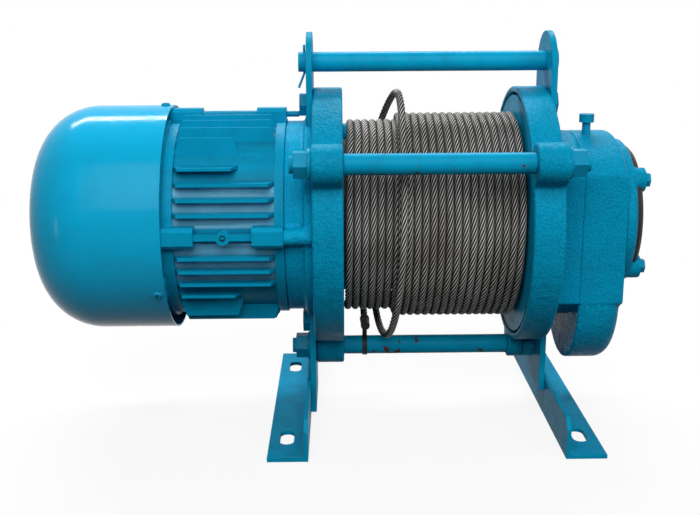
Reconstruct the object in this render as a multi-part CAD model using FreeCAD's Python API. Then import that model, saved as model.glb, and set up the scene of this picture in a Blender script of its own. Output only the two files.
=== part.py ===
import FreeCAD, Part
import math
import os

# Electric winch: a brake motor on the left, a rope drum between two cast flanges,
# and a two-stage gearbox on the right, on two angle-iron feet.
# Millimetres. X runs along the drum axis, Y to the back, Z up from the floor.
# The drive shaft runs from the motor through the hollow drum to the gearbox.

V = FreeCAD.Vector
os.makedirs("parts", exist_ok=True)

# Fits and clearances
RUNNING_FIT = 0.05
SEAT_FIT = 0.02
BODY_GAP = 0.3

# Drum, flanges and side plates: the tie rods' circle sets the flanges and the heights
ROD_CIRCLE_R = 145.0
BOTTOM_ROD_Z = 67.0
AXIS_Z = BOTTOM_ROD_Z + ROD_CIRCLE_R
DRUM_SPACE = 177.0
FLANGE_T = 30.0
ROD_OUTSIDE_FLANGE = 12.0
FLANGE_R = ROD_CIRCLE_R - ROD_OUTSIDE_FLANGE
RING_WALL = 6.0
RING_BORE_R = FLANGE_R - RING_WALL
RING_OVERLAP = 1.0
RING_DEPTH = 12.5
PLATE_T = 6.0
PLATE_W = 78.0
PLATE_ABOVE_RODS = 44.0
PLATE_TOP_Z = AXIS_Z + ROD_CIRCLE_R + PLATE_ABOVE_RODS
PLATE_HOLE_R = 30.0
LEFT_PLATE_BOTTOM_Z = 4.5
RIGHT_PLATE_BOTTOM_Z = 27.0
PLATE_BOLT_INSIDE_RODS = 29.0
PLATE_BOLT_R = ROD_CIRCLE_R - PLATE_BOLT_INSIDE_RODS

# Motor, brake and cowl lengths
SHIELD_L = 27.5
MOTOR_L = 116.0
COWL_L = 143.0
REAR_SHIELD_T = 14.0
BRAKE_DISC_T = 9.7
ARMATURE_T = 7.7
ARMATURE_TRAVEL = 0.5
MAGNET_T = 35.0

# Gearbox lengths
INNER_CASE_L = 28.5
OUTER_CASE_L = 44.0
END_COVER_T = 12.0
COVER_BOSS_L = 10.5
COVER_HEAD_T = 5.5

# Places along the axis, from the middle of the drum
HALF_SPACE = DRUM_SPACE / 2
FLANGE_OUT = HALF_SPACE + FLANGE_T
PLATE_OUT = FLANGE_OUT + PLATE_T
SHIELD_OUT = FLANGE_OUT + SHIELD_L
MOTOR_OUT = SHIELD_OUT + MOTOR_L
COWL_OUT = MOTOR_OUT + COWL_L
SEAM = FLANGE_OUT + INNER_CASE_L
CASE_OUT = SEAM + OUTER_CASE_L
COVER_OUT = CASE_OUT + END_COVER_T
COVER_BOSS_OUT = COVER_OUT + COVER_BOSS_L
RIGHT_REACH = COVER_BOSS_OUT + COVER_HEAD_T
MID_X = (COWL_OUT - RIGHT_REACH) / 2

# Rope and drum
ROPE_D = 7.7
LAYER_RISE = ROPE_D * math.sin(math.radians(60))
CREST_START = 0.25
ROPE_TURNS = 23
TOP_LAYER_TURNS = 16
FULL_LAYERS = 3
BARREL_R = 79.2
BARREL_WALL = 8.0
PACK_R = BARREL_R + FULL_LAYERS * LAYER_RISE + ROPE_D
CHEEK_CLEARANCE = 3.0
CHEEK_R = RING_BORE_R - CHEEK_CLEARANCE
CHEEK_T = 9.0
CHEEK_GAP = 1.0
SPIGOT_L = 8.0

# Shafts and bearings
SHAFT_R = 10.0
SHAFT_TUNNEL_R = 12.0
JOURNAL_R = 25.0
JOURNAL_SHOULDER_R = 29.0
DRUM_BEARING_R = 40.0
DRUM_BEARING_W = 16.0
BEARING_LIP = 4.0
BEARING_RIM_SHARE = 0.28
BEARING_GROOVE_SHARE = 0.06
GEAR_SEAT_R = 22.5
GEAR_SEAT_CLEARANCE = 1.0
MOTOR_SHAFT_R = 12.5
ROTOR_SEAT_R = 14.5
MOTOR_BEARING_R = 26.0
MOTOR_BEARING_W = 15.0
REAR_BEARING_R = 23.5
SHAFT_SPIGOT_R = 8.0
SHAFT_SPIGOT_L = 34.0
SMALL_BEARING_R = 17.5
SMALL_BEARING_W = 11.0
COUNTERSHAFT_R = 7.5
COUNTERSHAFT_SEAT_R = 10.5
COUNTERSHAFT_COLLAR_R = 9.0
TIP_JOURNAL_R = 6.0
TIP_ROOM_R = 8.0
TIP_BEARING_R = 16.0
TIP_BEARING_W = 10.0

# Gears: one centre distance for both stages
CENTRE_DISTANCE = 73.0
PRESSURE_ANGLE = math.radians(20)
PROFILE_SHIFT = 0.45
TOOTH_THINNING = 0.12
ROOT_DEPTH = 1.25
INPUT_MODULE = 1.5
INPUT_PINION_TEETH = 11
INTERMEDIATE_TEETH = 86
OUTPUT_MODULE = 2.0
OUTPUT_PINION_TEETH = 11
OUTPUT_TEETH = 62
OUTPUT_GEAR_W = 14.0
INTERMEDIATE_GEAR_W = 12.0
GEAR_GAP = 3.0
PINION_EXTRA_W = 1.0

# Gear case
CASE_WALL = 7.0
CASE_HALF_DEPTH = 80.0
CASE_TOP = 87.0
CASE_ROUND = 8.0
CASE_SHOULDER = 53.0
CASE_CORNER = 77.0
CASE_FLOOR = 99.0
CASE_FLOOR_HALF = 40.0
BULGE_R = 79.0
BULGE_DROP = 4.0
BULGE_ROUND = 15.0
BACK_WALL_T = 11.2
SEAL_R = 31.0
SEAL_W = 8.0
COVER_R = 78.0
COVER_ROUND = 4.0
COVER_BOSS_R = 12.3
COVER_BOLT_Y = 48.0
COVER_BOLT_UP = 43.0
COVER_BOLT_DOWN = 46.0
COVER_BOLT_R = 4.0
COVER_BOLT_AF = 13.0
COVER_BOLT_GRIP = 10.0
COVER_SPIGOT_R = 20.0
COVER_SPIGOT_L = 10.0
CAP_R = 71.0
CAP_T = 6.5
CAP_ROUND = 3.0
CASE_BOLT_Y = 71.0
CASE_BOLT_UP = 38.0
CASE_BOLT_DOWN = 62.0
CASE_BOLT_R = 4.0
CASE_BOLT_HEAD_R = 6.5
CASE_BOLT_HEAD_T = 8.0
CASE_BOLT_GRIP = 16.0
CASE_BOSS_R = 9.0
BREATHER_X = 161.0
BREATHER_Y = -15.0
BREATHER_STEM_R = 4.25
BREATHER_HEAD_R = 7.5
BREATHER_HEAD_T = 8.5
BREATHER_H = 20.0
BREATHER_THREAD_L = 5.0

# Tie rods
ROD_R = 10.0
ROD_THREAD_R = 8.0
ROD_HOLE_R = 8.2
LUG_R = 19.0
BOTTOM_LUG_T = 16.5
BOTTOM_LUG_R = 14.0
NUT_AF = 24.0
NUT_T = 13.0
WASHER_R = 15.0
WASHER_T = 3.0
THREAD_END = 4.0
FRONT_ROD_ANGLE = 150.0
REAR_ROD_ANGLE = 30.0
BOTTOM_ROD_ANGLE = 270.0

# Side plate bolts
PLATE_BOLT_SHANK_R = 7.0
PLATE_BOLT_AF = 22.0
PLATE_BOLT_HEAD_T = 8.0
PLATE_BOLT_GRIP = 15.0

# Hanger bar at the top
HANGER_BELOW_TOP = 30.0
HANGER_Z = PLATE_TOP_Z - HANGER_BELOW_TOP
HANGER_R = 10.0
HANGER_HEAD_R = 12.0
HANGER_HEAD_T = 6.0
HANGER_TAIL = 8.5
SPLIT_PIN_R = 1.2
SPLIT_PIN_EYE_R = 2.4
SPLIT_PIN_LEG_L = 16.0
SPLIT_PIN_LEG_HEADING = V(-0.4, -0.1, -1)
SPLIT_PIN_OFF_PLATE = 2.5

# Feet
FOOT_L = 300.0
FOOT_W = 40.0
FOOT_T = 4.0
FOOT_ROOT_R = 4.0
FOOT_CLIP = 10.0
SLOT_W = 14.0
SLOT_L = 32.0
SLOT_SPACING = 205.0
SLOT_REACH = 22.5
WELD_LEG = 3.5

# Motor frame
FRAME_R = 97.0
FRAME_BORE_R = 92.5
FIN_TIP_R = 110.0
FIN_T = 3.0
FIN_SLOPE = 6.0
FIN_OFFSETS = (21.0, 35.0, 49.0, 63.0)
FIN_INSET = 8.0
SHORT_FIN_L = 64.0
END_RING_R = 101.0
END_RING_L = 9.0
MOTOR_LUG_L = 30.0
MOTOR_LUG_W = 20.0
MOTOR_LUG_R = 113.0
MOTOR_LUG_CHAMFER = 3.5
FRAME_BASE = 102.0
RIB_T = 5.0
EYE_R = 6.75
EYE_HOLE_R = 2.25
SHIELD_R = 99.0
SHIELD_RING_R = 106.0
SHIELD_RING_L = 8.0
SHIELD_WEB_T = 8.0
SHIELD_HOLLOW_R = 90.0
SHIELD_HUB_R = 33.0
SHIELD_BOSS_R = 8.0
STUD_R = 3.0
STUD_CIRCLE_R = 106.5
STUD_ANGLES = (0, 90, 180)
LONG_STUD_ANGLES = (0, 180)
STUD_NUT_AF = 10.0
STUD_NUT_T = 5.0
STUD_GRIP = 8.0

# Motor insides
AIR_GAP = 0.5
ROTOR_R = 52.0
ROTOR_RING_R = 50.0
CORE_L = 80.0
CORE_INSET = 18.0
WINDING_R = 86.0
WINDING_BORE_R = 60.0
WINDING_L = 12.0
END_RING_W = 6.0
END_RING_IN_R = 30.0

# Brake and fan
REAR_SHIELD_R = 104.0
COWL_LUG_W = 22.0
BRAKE_R = 75.0
BRAKE_BORE_R = 20.0
BRAKE_STUD_CIRCLE_R = 66.0
BRAKE_STUD_R = 3.0
BRAKE_STUD_HOLE_R = 3.5
BRAKE_NUT_T = 4.0
BRAKE_NUT_AF = 10.0
LINING_R = 61.5
SPRING_CIRCLE_R = 45.0
SPRING_R = 4.5
SPRING_WIRE = 1.4
SPRING_POCKET_DEPTH = 20.0
FAN_GAP = 15.0
FAN_W = 26.0
FAN_R = 90.0
FAN_HUB_R = 16.0
FAN_PLATE_T = 3.0
FAN_BLADE_ROOT_R = 14.0
FAN_BLADES = 8
FAN_BLADE_T = 3.0

# Fan cowl
COWL_R = 116.0
COWL_SHEET = 1.5
COWL_ROUND = 62.0
COWL_DOME = 5.0
VENT_SLOTS = 12
VENT_W = 7.0
VENT_IN_R = 18.0
VENT_OUT_R = 44.0
VENT_CUT_L = 12.0
COWL_SCREW_INSET = 8.0
COWL_SCREW_R = 2.5
COWL_SCREW_HEAD_R = 5.0
COWL_SCREW_CROWN_R = 3.5
COWL_SCREW_HEAD_T = 2.5
COWL_SCREW_GRIP = 4.5
COWL_SCREW_ANGLES = (90.0, 210.0, 330.0)

# Terminal box on the back of the motor
TERMINAL_L = 68.0
TERMINAL_H = 62.0
TERMINAL_DEPTH = 26.0
TERMINAL_WALL = 3.0
TERMINAL_LID_T = 4.0
TERMINAL_SCREW_R = 2.0
TERMINAL_SCREW_HEAD_R = 4.0
TERMINAL_SCREW_HEAD_T = 2.5
TERMINAL_POST_R = 4.5
TERMINAL_SCREW_INSET = 5.7
GLAND_R = 9.0
GLAND_BORE_R = 5.0
GLAND_THREAD_R = 7.0
GLAND_BODY_L = 10.8
GLAND_NOSE_L = 7.2
GLAND_NOSE_R = 6.3

# Loose end of the rope: angle round the drum from the front over the top, place along
# the axis from the middle of the drum, and distance out, from 0 on the rope pack to 1 on the rods
ROPE_TAIL_ROUTE = [
    (180, -58, -0.14), (205, -58, 0.0), (235, -56, 0.35), (265, -50, 0.99),
    (295, -42, 1.04), (325, -35, 0.53), (352, -31.5, 0.25), (380, -30.5, 0.25),
    (408, -30.5, 0.39), (436, -30.5, 0.99), (462, -33.5, 0.99), (490, -45, 0.56),
    (520, -58, 0.40), (548, -65.5, 0.33), (575, -67, 0.30), (598, -67, 0.3),
    (617, -66.5, 0.35), (634, -66, 0.3),
]
BEND_SHARE = 0.45
FERRULE_R = 4.8
FERRULE_L = 12.0
TIE_W = 5.0
TIE_T = 1.2


def cyl_x(x0, x1, radius, y=0.0, z=AXIS_Z):
    return Part.makeCylinder(radius, x1 - x0, V(x0, y, z), V(1, 0, 0))


def tube_x(x0, x1, outer, inner, y=0.0, z=AXIS_Z):
    return cyl_x(x0, x1, outer, y, z).cut(cyl_x(x0 - 1, x1 + 1, inner, y, z))


def block(x0, x1, y0, y1, z0, z1):
    return Part.makeBox(x1 - x0, y1 - y0, z1 - z0, V(x0, y0, z0))


def hex_x(x0, x1, across_flats, y, z):
    corner = across_flats / math.sqrt(3)
    points = [V(x0, y + corner * math.cos(math.radians(60 * k)),
                z + corner * math.sin(math.radians(60 * k))) for k in range(7)]
    return Part.Face(Part.makePolygon(points)).extrude(V(x1 - x0, 0, 0))


def turned(profile, y=0.0, z=AXIS_Z):
    # Solid of revolution about a line along X, from (x, radius) points
    points = [V(x, y, z + r) for x, r in profile]
    face = Part.Face(Part.makePolygon(points + points[:1]))
    return face.revolve(V(0, y, z), V(1, 0, 0), 360)


def on_circle(radius, degrees):
    # Y and Z of a point round the drum axis, from the back over the top
    angle = math.radians(degrees)
    return radius * math.cos(angle), AXIS_Z + radius * math.sin(angle)


def mirrored(shape):
    # The same piece on the other side of the drum
    return shape.mirror(V(MID_X, 0, 0), V(1, 0, 0))


def fused(first, *others):
    return first.multiFuse(list(others)).removeSplitter()


def save(name, *shapes):
    shape = shapes[0] if len(shapes) == 1 else Part.makeCompound(list(shapes))
    shape.exportStep("parts/" + name + ".step")


# Feet: angle iron with a slotted flat leg, welded to the side plates

def left_foot():
    inner = MID_X - PLATE_OUT
    outer = inner - FOOT_W
    half = FOOT_L / 2
    upright = block(inner - FOOT_T, inner, -half, half, 0, FOOT_W)
    flat = block(outer, inner, -half, half, 0, FOOT_T)
    root = block(inner - FOOT_T - FOOT_ROOT_R, inner - FOOT_T, -half, half, FOOT_T, FOOT_T + FOOT_ROOT_R)
    hollow_start = V(inner - FOOT_T - FOOT_ROOT_R, -half, FOOT_T + FOOT_ROOT_R)
    hollow = Part.makeCylinder(FOOT_ROOT_R, FOOT_L, hollow_start, V(0, 1, 0))
    foot = fused(flat, upright, root.cut(hollow))
    for end in (-1, 1):
        corner = [V(inner - FOOT_W, end * half, FOOT_W), V(inner - FOOT_W, end * (half - FOOT_CLIP), FOOT_W),
                  V(inner - FOOT_W, end * half, FOOT_W - FOOT_CLIP)]
        clip = Part.Face(Part.makePolygon(corner + corner[:1])).extrude(V(FOOT_W, 0, 0))
        slot = foot_slot(inner - SLOT_REACH, end * SLOT_SPACING / 2)
        foot = foot.cut(clip).cut(slot)
    return foot


def foot_slot(x, y):
    straight = (SLOT_L - SLOT_W) / 2
    slot = block(x - SLOT_W / 2, x + SLOT_W / 2, y - straight, y + straight, -1, FOOT_T + 1)
    ends = [Part.makeCylinder(SLOT_W / 2, FOOT_T + 2, V(x, y + side * straight, -1)) for side in (-1, 1)]
    return fused(slot, *ends)


def foot_weld():
    inner = MID_X - PLATE_OUT
    half = PLATE_W / 2 - WELD_LEG
    corner = [V(inner, -half, FOOT_W), V(inner - WELD_LEG, -half, FOOT_W), V(inner, -half, FOOT_W + WELD_LEG)]
    return Part.Face(Part.makePolygon(corner + corner[:1])).extrude(V(0, 2 * half, 0))


# Side plates: flat bars from the feet up to the hanger bar

def side_plate(bottom_z, rod_hole):
    x0 = MID_X - PLATE_OUT
    x1 = MID_X - FLANGE_OUT
    half = PLATE_W / 2
    crown_z = PLATE_TOP_Z - half
    plate = fused(block(x0, x1, -half, half, bottom_z, crown_z), cyl_x(x0, x1, half, 0, crown_z))
    cuts = [cyl_x(x0 - 1, x1 + 1, PLATE_HOLE_R), cyl_x(x0 - 1, x1 + 1, HANGER_R + BODY_GAP, 0, HANGER_Z)]
    for side in (-1, 1):
        z = AXIS_Z + side * PLATE_BOLT_R
        cuts.append(cyl_x(x0 - 1, x1 + 1, PLATE_BOLT_SHANK_R + RUNNING_FIT, 0, z))
    if rod_hole:
        cuts.append(cyl_x(x0 - 1, x1 + 1, ROD_HOLE_R, 0, AXIS_Z - ROD_CIRCLE_R))
    return plate.cut(cuts)


def plate_bolt(side):
    x0 = MID_X - PLATE_OUT
    z = AXIS_Z + side * PLATE_BOLT_R
    head = hex_x(x0 - PLATE_BOLT_HEAD_T, x0, PLATE_BOLT_AF, 0, z)
    shank = cyl_x(x0, x0 + PLATE_T + PLATE_BOLT_GRIP, PLATE_BOLT_SHANK_R, 0, z)
    return fused(head, shank)


def head_room(x0, x1, side):
    # Clearance in a neighbour for the head of a side plate bolt
    return cyl_x(x0, x1, PLATE_BOLT_AF / math.sqrt(3) + BODY_GAP, 0, AXIS_Z + side * PLATE_BOLT_R)


# Flanges: castings with a recessed ring over the drum cheek and three tie-rod lugs

def flange(bottom_lug_r, bottom_lug_t):
    x0 = MID_X - FLANGE_OUT
    x1 = MID_X - HALF_SPACE
    body = cyl_x(x0, x1, FLANGE_R)
    for angle in (FRONT_ROD_ANGLE, REAR_ROD_ANGLE):
        body = body.fuse(rod_lug(x0, x1, LUG_R, angle))
    body = fused(body, rod_lug(x1 - bottom_lug_t, x1, bottom_lug_r, BOTTOM_ROD_ANGLE))
    cuts = [cyl_x(x1 - RING_DEPTH, x1 + 1, RING_BORE_R)]
    cuts.append(cyl_x(x0 - 1, x0 + DRUM_BEARING_W, DRUM_BEARING_R + SEAT_FIT))
    cuts.append(cyl_x(x0 - 1, x1 + 1, DRUM_BEARING_R - BEARING_LIP))
    for angle in (FRONT_ROD_ANGLE, REAR_ROD_ANGLE, BOTTOM_ROD_ANGLE):
        y, z = on_circle(ROD_CIRCLE_R, angle)
        cuts.append(cyl_x(x0 - 1, x1 + 1, ROD_HOLE_R, y, z))
    for side in (-1, 1):
        z = AXIS_Z + side * PLATE_BOLT_R
        cuts.append(cyl_x(x0 - 1, x0 + PLATE_BOLT_GRIP + BODY_GAP, PLATE_BOLT_SHANK_R + SEAT_FIT, 0, z))
    return body.cut(cuts)


def rod_lug(x0, x1, radius, angle):
    # Round eye with straight sides that run into the flange's rim
    y, z = on_circle(ROD_CIRCLE_R, angle)
    neck = block(x0, x1, FLANGE_R - radius, ROD_CIRCLE_R, AXIS_Z - radius, AXIS_Z + radius)
    neck.rotate(V(0, 0, AXIS_Z), V(1, 0, 0), angle)
    neck = neck.cut(cyl_x(x0 - 1, x1 + 1, RING_BORE_R + RING_OVERLAP))
    return cyl_x(x0, x1, radius, y, z).fuse(neck)


def left_flange():
    body = flange(LUG_R, FLANGE_T)
    x0 = MID_X - FLANGE_OUT
    places = [on_circle(STUD_CIRCLE_R, angle) for angle in LONG_STUD_ANGLES]
    return body.cut([cyl_x(x0 - 1, x0 + STUD_GRIP + BODY_GAP, STUD_R + SEAT_FIT, y, z) for y, z in places])


def right_flange():
    body = mirrored(flange(BOTTOM_LUG_R, BOTTOM_LUG_T))
    x1 = MID_X + FLANGE_OUT
    web_in = MID_X + HALF_SPACE + RING_DEPTH
    for y, z in case_bolt_places():
        body = body.cut(cyl_x(web_in - 1, x1 + 1, CASE_BOLT_R + RUNNING_FIT, y, z))
        body = body.cut(cyl_x(web_in - 1, web_in + CASE_BOLT_HEAD_T, CASE_BOLT_HEAD_R + RUNNING_FIT, y, z))
    return body


# Tie rods with reduced threaded ends

def tie_rod(angle, left_end, right_end):
    y, z = on_circle(ROD_CIRCLE_R, angle)
    thread = cyl_x(MID_X - left_end, MID_X + right_end, ROD_THREAD_R, y, z)
    return fused(thread, cyl_x(MID_X - HALF_SPACE, MID_X + HALF_SPACE, ROD_R, y, z))


def washer(x0, y, z):
    return tube_x(x0, x0 + WASHER_T, WASHER_R, ROD_HOLE_R, y, z)


def rod_nut(x0, y, z):
    return hex_x(x0, x0 + NUT_T, NUT_AF, y, z).cut(cyl_x(x0 - 1, x0 + NUT_T + 1, ROD_THREAD_R + SEAT_FIT, y, z))


def tie_rods_and_nuts():
    nuts = []
    washers = []
    full_end = FLANGE_OUT + WASHER_T + NUT_T + THREAD_END
    for name, angle in (("front", FRONT_ROD_ANGLE), ("rear", REAR_ROD_ANGLE)):
        save(name + "_tie_rod", tie_rod(angle, full_end, full_end))
        y, z = on_circle(ROD_CIRCLE_R, angle)
        for x0 in (MID_X - FLANGE_OUT - WASHER_T, MID_X + FLANGE_OUT):
            washers.append(washer(x0, y, z))
        for x0 in (MID_X - FLANGE_OUT - WASHER_T - NUT_T, MID_X + FLANGE_OUT + WASHER_T):
            nuts.append(rod_nut(x0, y, z))
    bottom_left = PLATE_OUT + WASHER_T + NUT_T + THREAD_END
    bottom_right = HALF_SPACE + BOTTOM_LUG_T + NUT_T
    y, z = on_circle(ROD_CIRCLE_R, BOTTOM_ROD_ANGLE)
    save("bottom_tie_rod", tie_rod(BOTTOM_ROD_ANGLE, bottom_left, bottom_right))
    washers.append(washer(MID_X - PLATE_OUT - WASHER_T, y, z))
    nuts.append(rod_nut(MID_X - PLATE_OUT - WASHER_T - NUT_T, y, z))
    nuts.append(rod_nut(MID_X + HALF_SPACE + BOTTOM_LUG_T, y, z))
    save("tie_rod_nuts", *nuts)
    save("tie_rod_washers", *washers)


# Hanger bar: turns freely in the tops of the side plates

def hanger_bar():
    x0 = MID_X - PLATE_OUT - HANGER_TAIL
    x1 = MID_X + PLATE_OUT + BODY_GAP
    bar = cyl_x(x0, x1, HANGER_R, 0, HANGER_Z)
    bar = fused(bar, cyl_x(x1, x1 + HANGER_HEAD_T, HANGER_HEAD_R, 0, HANGER_Z))
    hole = Part.makeCylinder(SPLIT_PIN_R + SEAT_FIT, 4 * HANGER_R, V(split_pin_x(), 0, HANGER_Z - 2 * HANGER_R))
    return bar.cut(hole)


def split_pin_x():
    return MID_X - PLATE_OUT - SPLIT_PIN_OFF_PLATE


def split_pin():
    # Wire through the bar with an eye on top and its leg bent outwards below
    x = split_pin_x()
    eye_z = HANGER_Z + HANGER_R + SPLIT_PIN_EYE_R + SPLIT_PIN_R + BODY_GAP
    top_z = eye_z - SPLIT_PIN_EYE_R
    bend_z = HANGER_Z - HANGER_R - SPLIT_PIN_R
    shank = Part.makeCylinder(SPLIT_PIN_R, top_z - bend_z, V(x, 0, bend_z))
    eye = Part.makeTorus(SPLIT_PIN_EYE_R, SPLIT_PIN_R, V(x, 0, eye_z), V(1, 0, 0))
    knuckle = Part.makeSphere(SPLIT_PIN_R, V(x, 0, bend_z))
    leg = Part.makeCylinder(SPLIT_PIN_R, SPLIT_PIN_LEG_L, V(x, 0, bend_z), SPLIT_PIN_LEG_HEADING)
    return fused(shank, eye, knuckle, leg)


# Bearings: sealed rings with a groove on each side

def bearing(x0, width, outer, bore):
    rim = (outer - bore) * BEARING_RIM_SHARE
    groove = width * BEARING_GROOVE_SHARE
    x1 = x0 + width
    profile = [(x0, bore), (x0, bore + rim), (x0 + groove, bore + rim), (x0 + groove, outer - rim),
               (x0, outer - rim), (x0, outer), (x1, outer), (x1, outer - rim), (x1 - groove, outer - rim),
               (x1 - groove, bore + rim), (x1, bore + rim), (x1, bore)]
    return turned(profile)


def left_drum_bearing():
    return bearing(MID_X - FLANGE_OUT, DRUM_BEARING_W, DRUM_BEARING_R, JOURNAL_R + RUNNING_FIT)


# Drum: a tube between two end discs with hollow journals

def cheek_in():
    return HALF_SPACE + CHEEK_GAP


def drum_barrel():
    return tube_x(MID_X - cheek_in(), MID_X + cheek_in(), BARREL_R, BARREL_R - BARREL_WALL)


def drum_end(journal_out, seat_out):
    # Left-hand end; seat_out is 0 or the reach of the gear seat
    disc_in = MID_X - cheek_in()
    disc_out = disc_in - CHEEK_T
    bearing_in = MID_X - FLANGE_OUT + DRUM_BEARING_W
    shoulder = bearing_in + BODY_GAP
    spigot = disc_in + SPIGOT_L
    spigot_r = BARREL_R - BARREL_WALL - SEAT_FIT
    end = MID_X - journal_out
    profile = [(spigot, SHAFT_TUNNEL_R), (spigot, spigot_r), (disc_in, spigot_r), (disc_in, CHEEK_R),
               (disc_out, CHEEK_R), (disc_out, JOURNAL_SHOULDER_R), (shoulder, JOURNAL_SHOULDER_R),
               (shoulder, JOURNAL_R), (end, JOURNAL_R)]
    if seat_out:
        profile += [(end, GEAR_SEAT_R), (MID_X - seat_out, GEAR_SEAT_R), (MID_X - seat_out, SHAFT_TUNNEL_R)]
    else:
        profile += [(end, SHAFT_TUNNEL_R)]
    return turned(profile)


def output_gear_in():
    return FLANGE_OUT + PLATE_T + BODY_GAP + BACK_WALL_T + GEAR_GAP


def output_gear_out():
    return output_gear_in() + OUTPUT_GEAR_W


def seat_reach():
    return output_gear_out() + GEAR_GAP / 2


def intermediate_in():
    return output_gear_out() + GEAR_GAP + PINION_EXTRA_W


def rope_winding():
    # Parallel turns: full layers under, and a top layer on the right-hand part
    low_groove = BARREL_R + (FULL_LAYERS - 1) * LAYER_RISE + ROPE_D / 2
    x = MID_X - ROPE_TURNS * ROPE_D / 2
    profile = [(x, BARREL_R)]
    for turn in range(ROPE_TURNS):
        lift = LAYER_RISE if turn >= ROPE_TURNS - TOP_LAYER_TURNS else 0.0
        groove = low_groove + lift
        crest = groove + ROPE_D / 2
        crest_in = ROPE_D * CREST_START
        profile += [(x, groove), (x + crest_in, crest), (x + ROPE_D - crest_in, crest), (x + ROPE_D, groove)]
        x += ROPE_D
    profile.append((x, BARREL_R))
    return turned(tidy_points(profile))


def tidy_points(profile):
    # Leave out a point that repeats the one before it
    kept = profile[:1]
    for point in profile[1:]:
        if math.dist(point, kept[-1]) > 1e-6:
            kept.append(point)
    return kept


# Gears: involute flanks as short chords, thinned for backlash

def involute(angle):
    return math.tan(angle) - angle


def gear_outline(teeth, module, shift, turn, x, z):
    pitch_r = module * teeth / 2
    base_r = pitch_r * math.cos(PRESSURE_ANGLE)
    tip_r = pitch_r + module * (1 + shift)
    root_r = pitch_r - module * (ROOT_DEPTH - shift)
    half = (math.pi / 2 + 2 * shift * math.tan(PRESSURE_ANGLE)) / teeth - TOOTH_THINNING / (2 * pitch_r)
    start_r = max(base_r, root_r)
    flank = []
    for step in range(3):
        r = start_r + (tip_r - start_r) * step / 2
        flank.append((r, half + involute(PRESSURE_ANGLE) - involute(math.acos(base_r / r))))
    if root_r < base_r - 1e-6:
        flank.insert(0, (root_r, flank[0][1]))
    points = []
    for tooth in range(teeth):
        middle = turn + 2 * math.pi * tooth / teeth
        sides = [(r, middle - a) for r, a in flank] + [(r, middle + a) for r, a in reversed(flank)]
        points += [V(x, r * math.cos(a), z + r * math.sin(a)) for r, a in sides]
    return Part.Face(Part.makePolygon(points + points[:1]))


def gear_blank(x0, width, teeth, module, shift, turn, z):
    return gear_outline(teeth, module, shift, turn, x0, z).extrude(V(width, 0, 0))


def output_gear():
    x0 = MID_X + output_gear_in()
    turn = -math.pi / 2 + math.pi / OUTPUT_TEETH
    gear = gear_blank(x0, OUTPUT_GEAR_W, OUTPUT_TEETH, OUTPUT_MODULE, -PROFILE_SHIFT, turn, AXIS_Z)
    return gear.cut(cyl_x(x0 - 1, x0 + OUTPUT_GEAR_W + 1, GEAR_SEAT_R))


def intermediate_gear():
    x0 = MID_X + intermediate_in()
    z = AXIS_Z - CENTRE_DISTANCE
    turn = math.pi / 2 + math.pi / INTERMEDIATE_TEETH
    gear = gear_blank(x0, INTERMEDIATE_GEAR_W, INTERMEDIATE_TEETH, INPUT_MODULE, -PROFILE_SHIFT, turn, z)
    return gear.cut(cyl_x(x0 - 1, x0 + INTERMEDIATE_GEAR_W + 1, COUNTERSHAFT_SEAT_R, 0, z))


def countershaft_ends():
    left = FLANGE_OUT + PLATE_T + BODY_GAP
    right = intermediate_in() + INTERMEDIATE_GEAR_W + GEAR_GAP + SMALL_BEARING_W
    return left, right


def countershaft():
    z = AXIS_Z - CENTRE_DISTANCE
    left, right = countershaft_ends()
    gear_out = intermediate_in() + INTERMEDIATE_GEAR_W
    shaft = cyl_x(MID_X + left + BODY_GAP, MID_X + right - BODY_GAP, COUNTERSHAFT_R, 0, z)
    seat_in = MID_X + output_gear_out() + PINION_EXTRA_W
    seat = cyl_x(seat_in, MID_X + gear_out, COUNTERSHAFT_SEAT_R, 0, z)
    collar = cyl_x(MID_X + gear_out, MID_X + gear_out + GEAR_GAP - BODY_GAP, COUNTERSHAFT_COLLAR_R, 0, z)
    x0 = MID_X + output_gear_in() - PINION_EXTRA_W
    pinion = gear_blank(x0, OUTPUT_GEAR_W + 2 * PINION_EXTRA_W, OUTPUT_PINION_TEETH, OUTPUT_MODULE,
                        PROFILE_SHIFT, math.pi / 2, z)
    return fused(shaft, seat, collar, pinion)


def drive_shaft():
    # One long shaft: spigot in the motor shaft, through the drum, pinion at the far end
    start = MID_X - FLANGE_OUT - PLATE_T / 2
    pinion_in = MID_X + intermediate_in() - PINION_EXTRA_W
    pinion_out = MID_X + intermediate_in() + INTERMEDIATE_GEAR_W + PINION_EXTRA_W
    end = MID_X + CASE_OUT + SMALL_BEARING_W / 2
    spigot = cyl_x(start - SHAFT_SPIGOT_L, start, SHAFT_SPIGOT_R)
    main = cyl_x(start, pinion_in - GEAR_GAP / 2, SHAFT_R)
    tip = cyl_x(pinion_in - GEAR_GAP / 2, end, TIP_JOURNAL_R)
    pinion = gear_blank(pinion_in, pinion_out - pinion_in, INPUT_PINION_TEETH, INPUT_MODULE,
                        PROFILE_SHIFT, -math.pi / 2, AXIS_Z)
    return fused(main, spigot, tip, pinion)


# Gear case: inner half on the flange, outer half with the round sump, end cover

def case_outline(x, inset):
    depth = CASE_HALF_DEPTH - inset
    shoulder = CASE_SHOULDER - inset / 2
    corner = CASE_CORNER - inset
    floor = CASE_FLOOR - inset
    half = CASE_FLOOR_HALF - inset / 3

    def at(y, z):
        return V(x, y, AXIS_Z + z)

    top = Part.Arc(at(-depth, shoulder), at(0, CASE_TOP - inset), at(depth, shoulder)).toShape()
    sides = Part.makePolygon([at(depth, shoulder), at(depth, -corner), at(half, -floor), at(-half, -floor),
                              at(-depth, -corner), at(-depth, shoulder)])
    return Part.Face(Part.Wire([top] + sides.Edges))


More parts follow.
